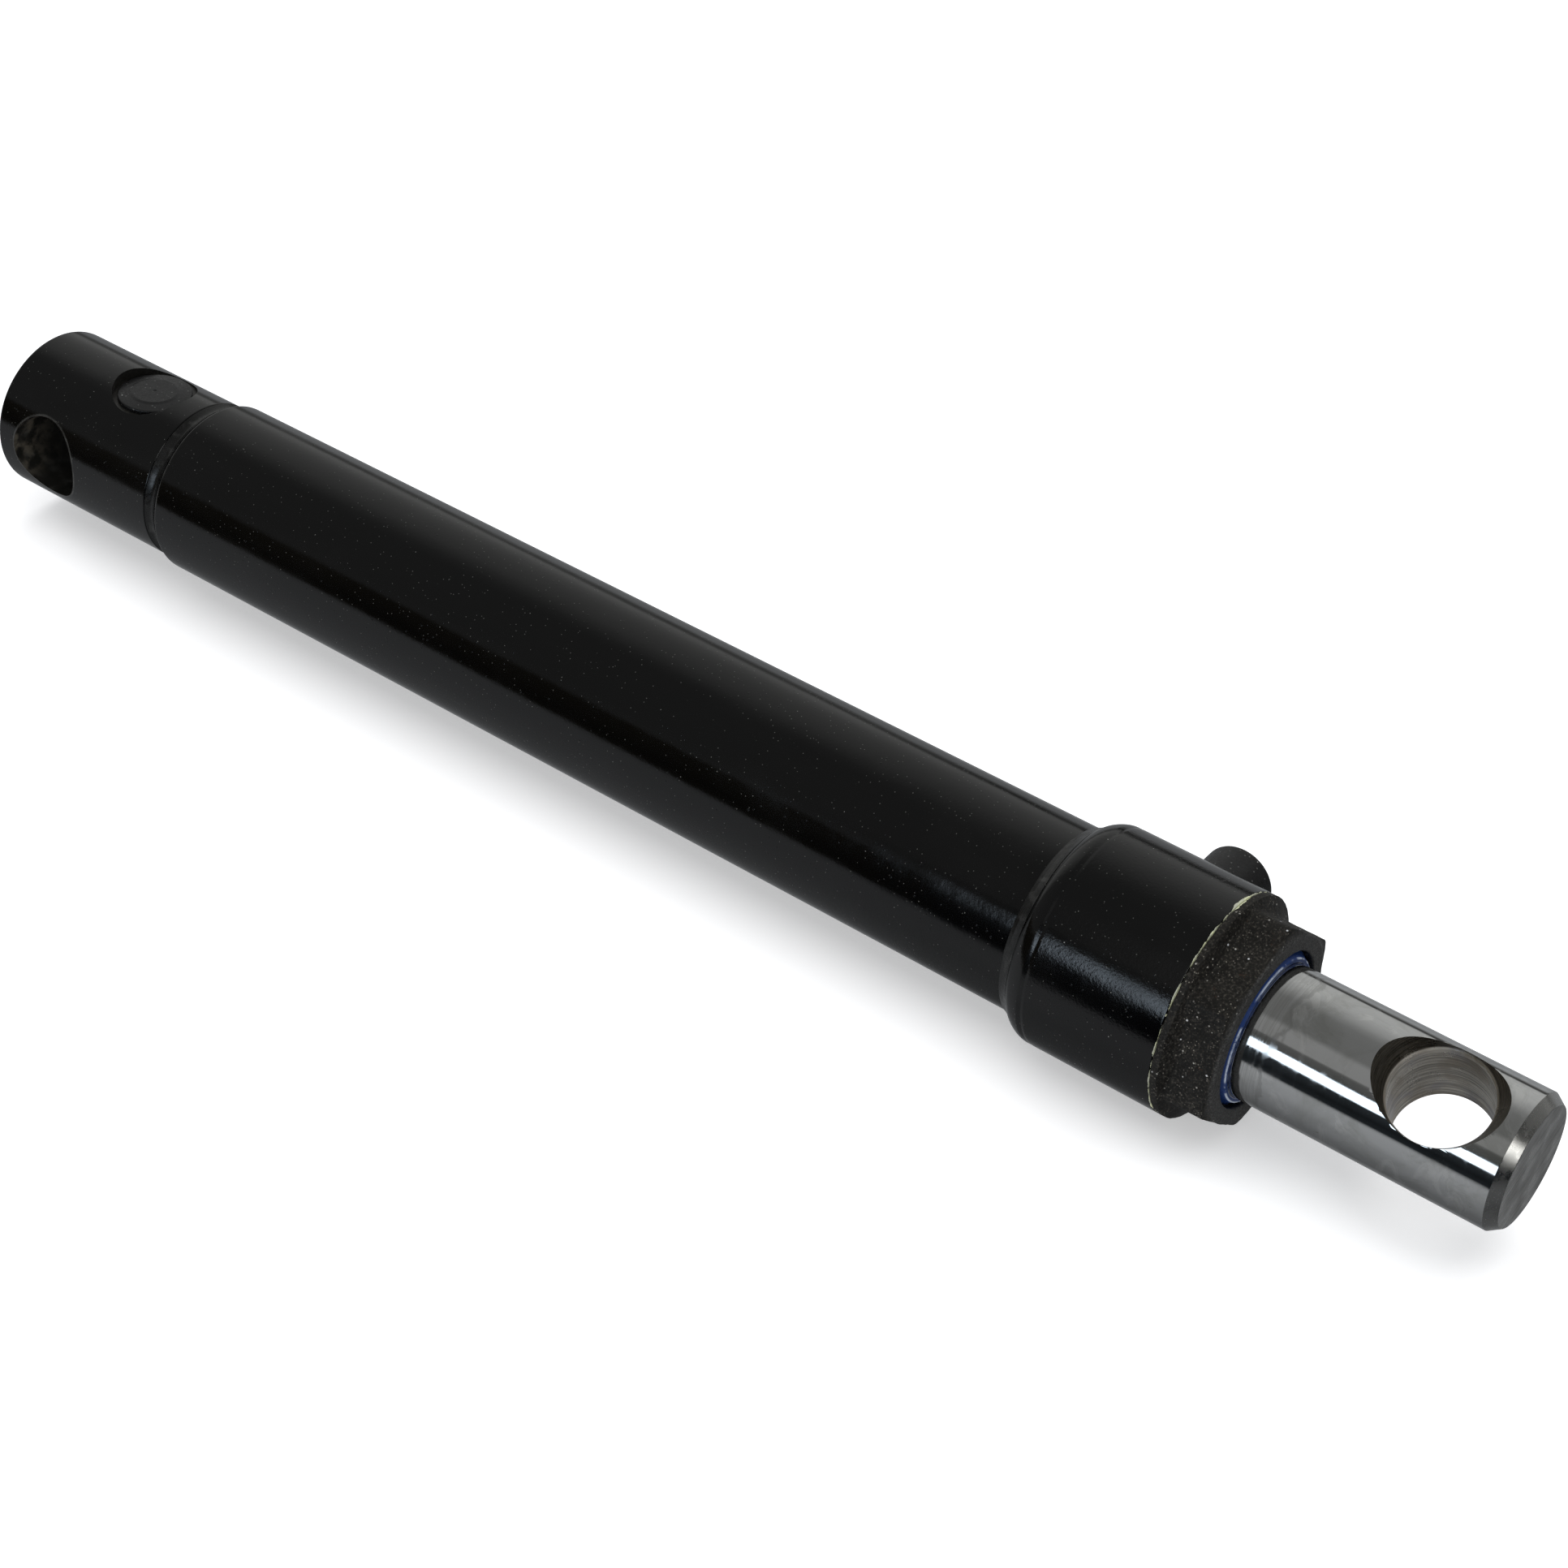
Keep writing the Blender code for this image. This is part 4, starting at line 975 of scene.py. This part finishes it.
ROOM_TINT_HIGH = (1.0, 1.01, 0.99)   # above it
SHADOW_LEVEL = 0.06                  # levels below this take the shadow's tint
SHADOW_TINT_FAR = (1.25, 1.08, 0.75)
SHADOW_TINT_NEAR = (0.85, 1.0, 1.15)
ROOM_JITTER = math.radians(6)        # how uneven the borders between levels are
ROOM_TURN_X = (-0.44, -0.37)         # where the far room gives way to the near one
STRIP_LOW, STRIP_HIGH = math.radians(6.0), math.radians(19.5)
STRIP_SOFT = math.radians(1.2)
STRIP_COLOUR = (2.3, 2.7, 3.1)
STRIP_EDGE_X = (-0.372, -0.352)      # the strip's end towards -X
STRIP_FAR_EDGE_X = (0.30, 0.15)      # its end towards +X
STRIP_SLANT = math.radians(73)       # it climbs by this much per unit of X, below the pivot
STRIP_PIVOT_X = -0.26
PATCH = [math.radians(degrees) for degrees in (34, 37, 56, 66)]
PATCH_EDGE_X = (-0.325, -0.30)
PATCH_LEVEL = 0.13
ROD_SIDE_X = (0.28, 0.48)            # directions past the rod's end see a dimmer room
ROD_SIDE_DIM = 0.6
SIDE_BOX_DIRECTION = (0.835, -0.32, 0.445)
SIDE_BOX_EDGE = (0.980, 0.991)       # cosines of its outer and inner edge
SIDE_BOX_COLOUR = (3.2, 3.2, 3.1)

CAMERA_SENSOR = 36.0
CAMERA_LENS = 73.028
CAMERA_PLACE = (0.68748, -0.57928, 0.52681)
CAMERA_RIGHT = (0.79220785, 0.60632857, 0.06908241)
CAMERA_UP = (-0.40984194, 0.44474869, 0.79638445)
CAMERA_BACK = (0.45214633, -0.65921488, 0.60083228)


def build_world():
    world = bpy.data.worlds.new("studio")
    bpy.context.scene.world = world
    world.use_nodes = True
    world.cycles.sampling_method = "NONE"
    world.node_tree.nodes.clear()
    g = Graph(world.node_tree)

    direction = g.node("ShaderNodeTexCoord").outputs["Generated"]
    parts = g.node("ShaderNodeSeparateXYZ")
    g.feed(parts.inputs[0], direction)
    across = parts.outputs["X"]
    angle = g.math("ARCTAN2", parts.outputs["Z"], g.times(parts.outputs["Y"], -1.0))
    stretch = g.node("ShaderNodeMapping")
    stretch.inputs["Scale"].default_value = (30.0, 4.0, 4.0)
    g.feed(stretch.inputs[0], direction)
    uneven = g.node("ShaderNodeTexNoise")
    g.feed(uneven.inputs["Vector"], stretch.outputs[0])
    uneven.inputs["Scale"].default_value = 1.0
    uneven.inputs["Detail"].default_value = 3.0
    jitter = g.times(g.minus(uneven.outputs["Fac"], 0.5), ROOM_JITTER)
    share = g.plus(g.math("DIVIDE", g.plus(angle, jitter), TAU), 0.5)

    def room(levels, shadow_tint):
        ramp = g.node("ShaderNodeValToRGB")
        elements = ramp.color_ramp.elements
        elements[0].position, elements[1].position = 0.0, 1.0
        for i, (degrees, level) in enumerate(levels):
            if i == 0:
                stop = elements[0]
            elif i == len(levels) - 1:
                stop = elements[len(elements) - 1]
            else:
                stop = elements.new((degrees + 180) / 360)
            lit_tint = ROOM_TINT_LOW if degrees < 0 else ROOM_TINT_HIGH
            tint = shadow_tint if level < SHADOW_LEVEL else lit_tint
            stop.color = (*(level * part for part in tint), 1.0)
        g.feed(ramp.inputs[0], share)
        return ramp.outputs["Color"]

    far, near = room(ROOM_FAR, SHADOW_TINT_FAR), room(ROOM_NEAR, SHADOW_TINT_NEAR)
    mirror = g.mix(g.between(across, *ROOM_TURN_X), far, near)
    mirror = g.mix(g.times(g.between(across, *ROD_SIDE_X), ROD_SIDE_DIM), mirror, BLACKOUT)
    patch = g.times(g.band(angle, *PATCH), g.between(across, *PATCH_EDGE_X), PATCH_LEVEL)
    mirror = g.mix(patch, mirror, WHITE)

    lean = g.math("MINIMUM", g.minus(across, STRIP_PIVOT_X), 0.0)
    slanted = g.plus(angle, g.times(lean, STRIP_SLANT))
    strip = g.band(slanted, STRIP_LOW - STRIP_SOFT, STRIP_LOW + STRIP_SOFT,
                   STRIP_HIGH - STRIP_SOFT, STRIP_HIGH + STRIP_SOFT)
    strip = g.times(strip, g.between(across, *STRIP_EDGE_X), g.between(across, *STRIP_FAR_EDGE_X))
    mirror = g.mix(strip, mirror, STRIP_COLOUR)

    facing = g.node("ShaderNodeVectorMath", operation="DOT_PRODUCT")
    g.feed(facing.inputs[0], direction)
    facing.inputs[1].default_value = SIDE_BOX_DIRECTION
    mirror = g.mix(g.between(facing.outputs["Value"], *SIDE_BOX_EDGE), mirror, SIDE_BOX_COLOUR)

    path = g.node("ShaderNodeLightPath")
    seen = g.mix(path.outputs["Is Glossy Ray"], SOFT_FILL, mirror)
    seen = g.mix(path.outputs["Is Camera Ray"], seen, WHITE)
    background = g.node("ShaderNodeBackground")
    g.feed(background.inputs["Color"], seen)
    g.feed(g.node("ShaderNodeOutputWorld").inputs["Surface"], background.outputs[0])


def build_floor():
    size = FLOOR_SIZE
    corners = [(-size, -size, 0), (size, -size, 0), (size, size, 0), (-size, size, 0)]
    mesh = bpy.data.meshes.new("floor")
    mesh.from_pydata(corners, [], [(0, 1, 2, 3)])
    floor = bpy.data.objects.new("floor", mesh)
    floor.location = (0.25, 0.0, FLOOR_Z)
    bpy.context.scene.collection.objects.link(floor)
    f = Finish("pale_floor")
    f.shader.inputs["Specular IOR Level"].default_value = 0.0
    f.shader.inputs["Emission Color"].default_value = (*WHITE, 1.0)
    f.shader.inputs["Emission Strength"].default_value = FLOOR_GLOW
    mesh.materials.append(f.done(f.mix(f.noise(3.0, 2.0), (0.90, 0.90, 0.90), (0.92, 0.92, 0.92)), 0.9))
    floor.visible_glossy = False


def build_lights():
    light = bpy.data.lights.new("overhead", "AREA")
    light.shape = "RECTANGLE"
    light.size, light.size_y = LAMP_SIZE, LAMP_SIZE
    light.energy = LAMP_POWER
    lamp = bpy.data.objects.new("overhead", light)
    lamp.location = LAMP_PLACE
    lamp.rotation_euler = (LAMP_TILT, 0.0, 0.0)
    lamp.visible_glossy = False
    bpy.context.scene.collection.objects.link(lamp)


def build_camera():
    data = bpy.data.cameras.new("camera")
    data.sensor_width = CAMERA_SENSOR
    data.lens = CAMERA_LENS
    data.clip_start = 0.01
    camera = bpy.data.objects.new("camera", data)
    turn = Matrix((CAMERA_RIGHT, CAMERA_UP, CAMERA_BACK)).transposed().to_4x4()
    camera.matrix_world = Matrix.Translation(CAMERA_PLACE) @ turn
    bpy.context.scene.collection.objects.link(camera)
    bpy.context.scene.camera = camera


build_world()
build_floor()
build_lights()
build_camera()
bpy.context.scene.view_settings.view_transform = "Standard"
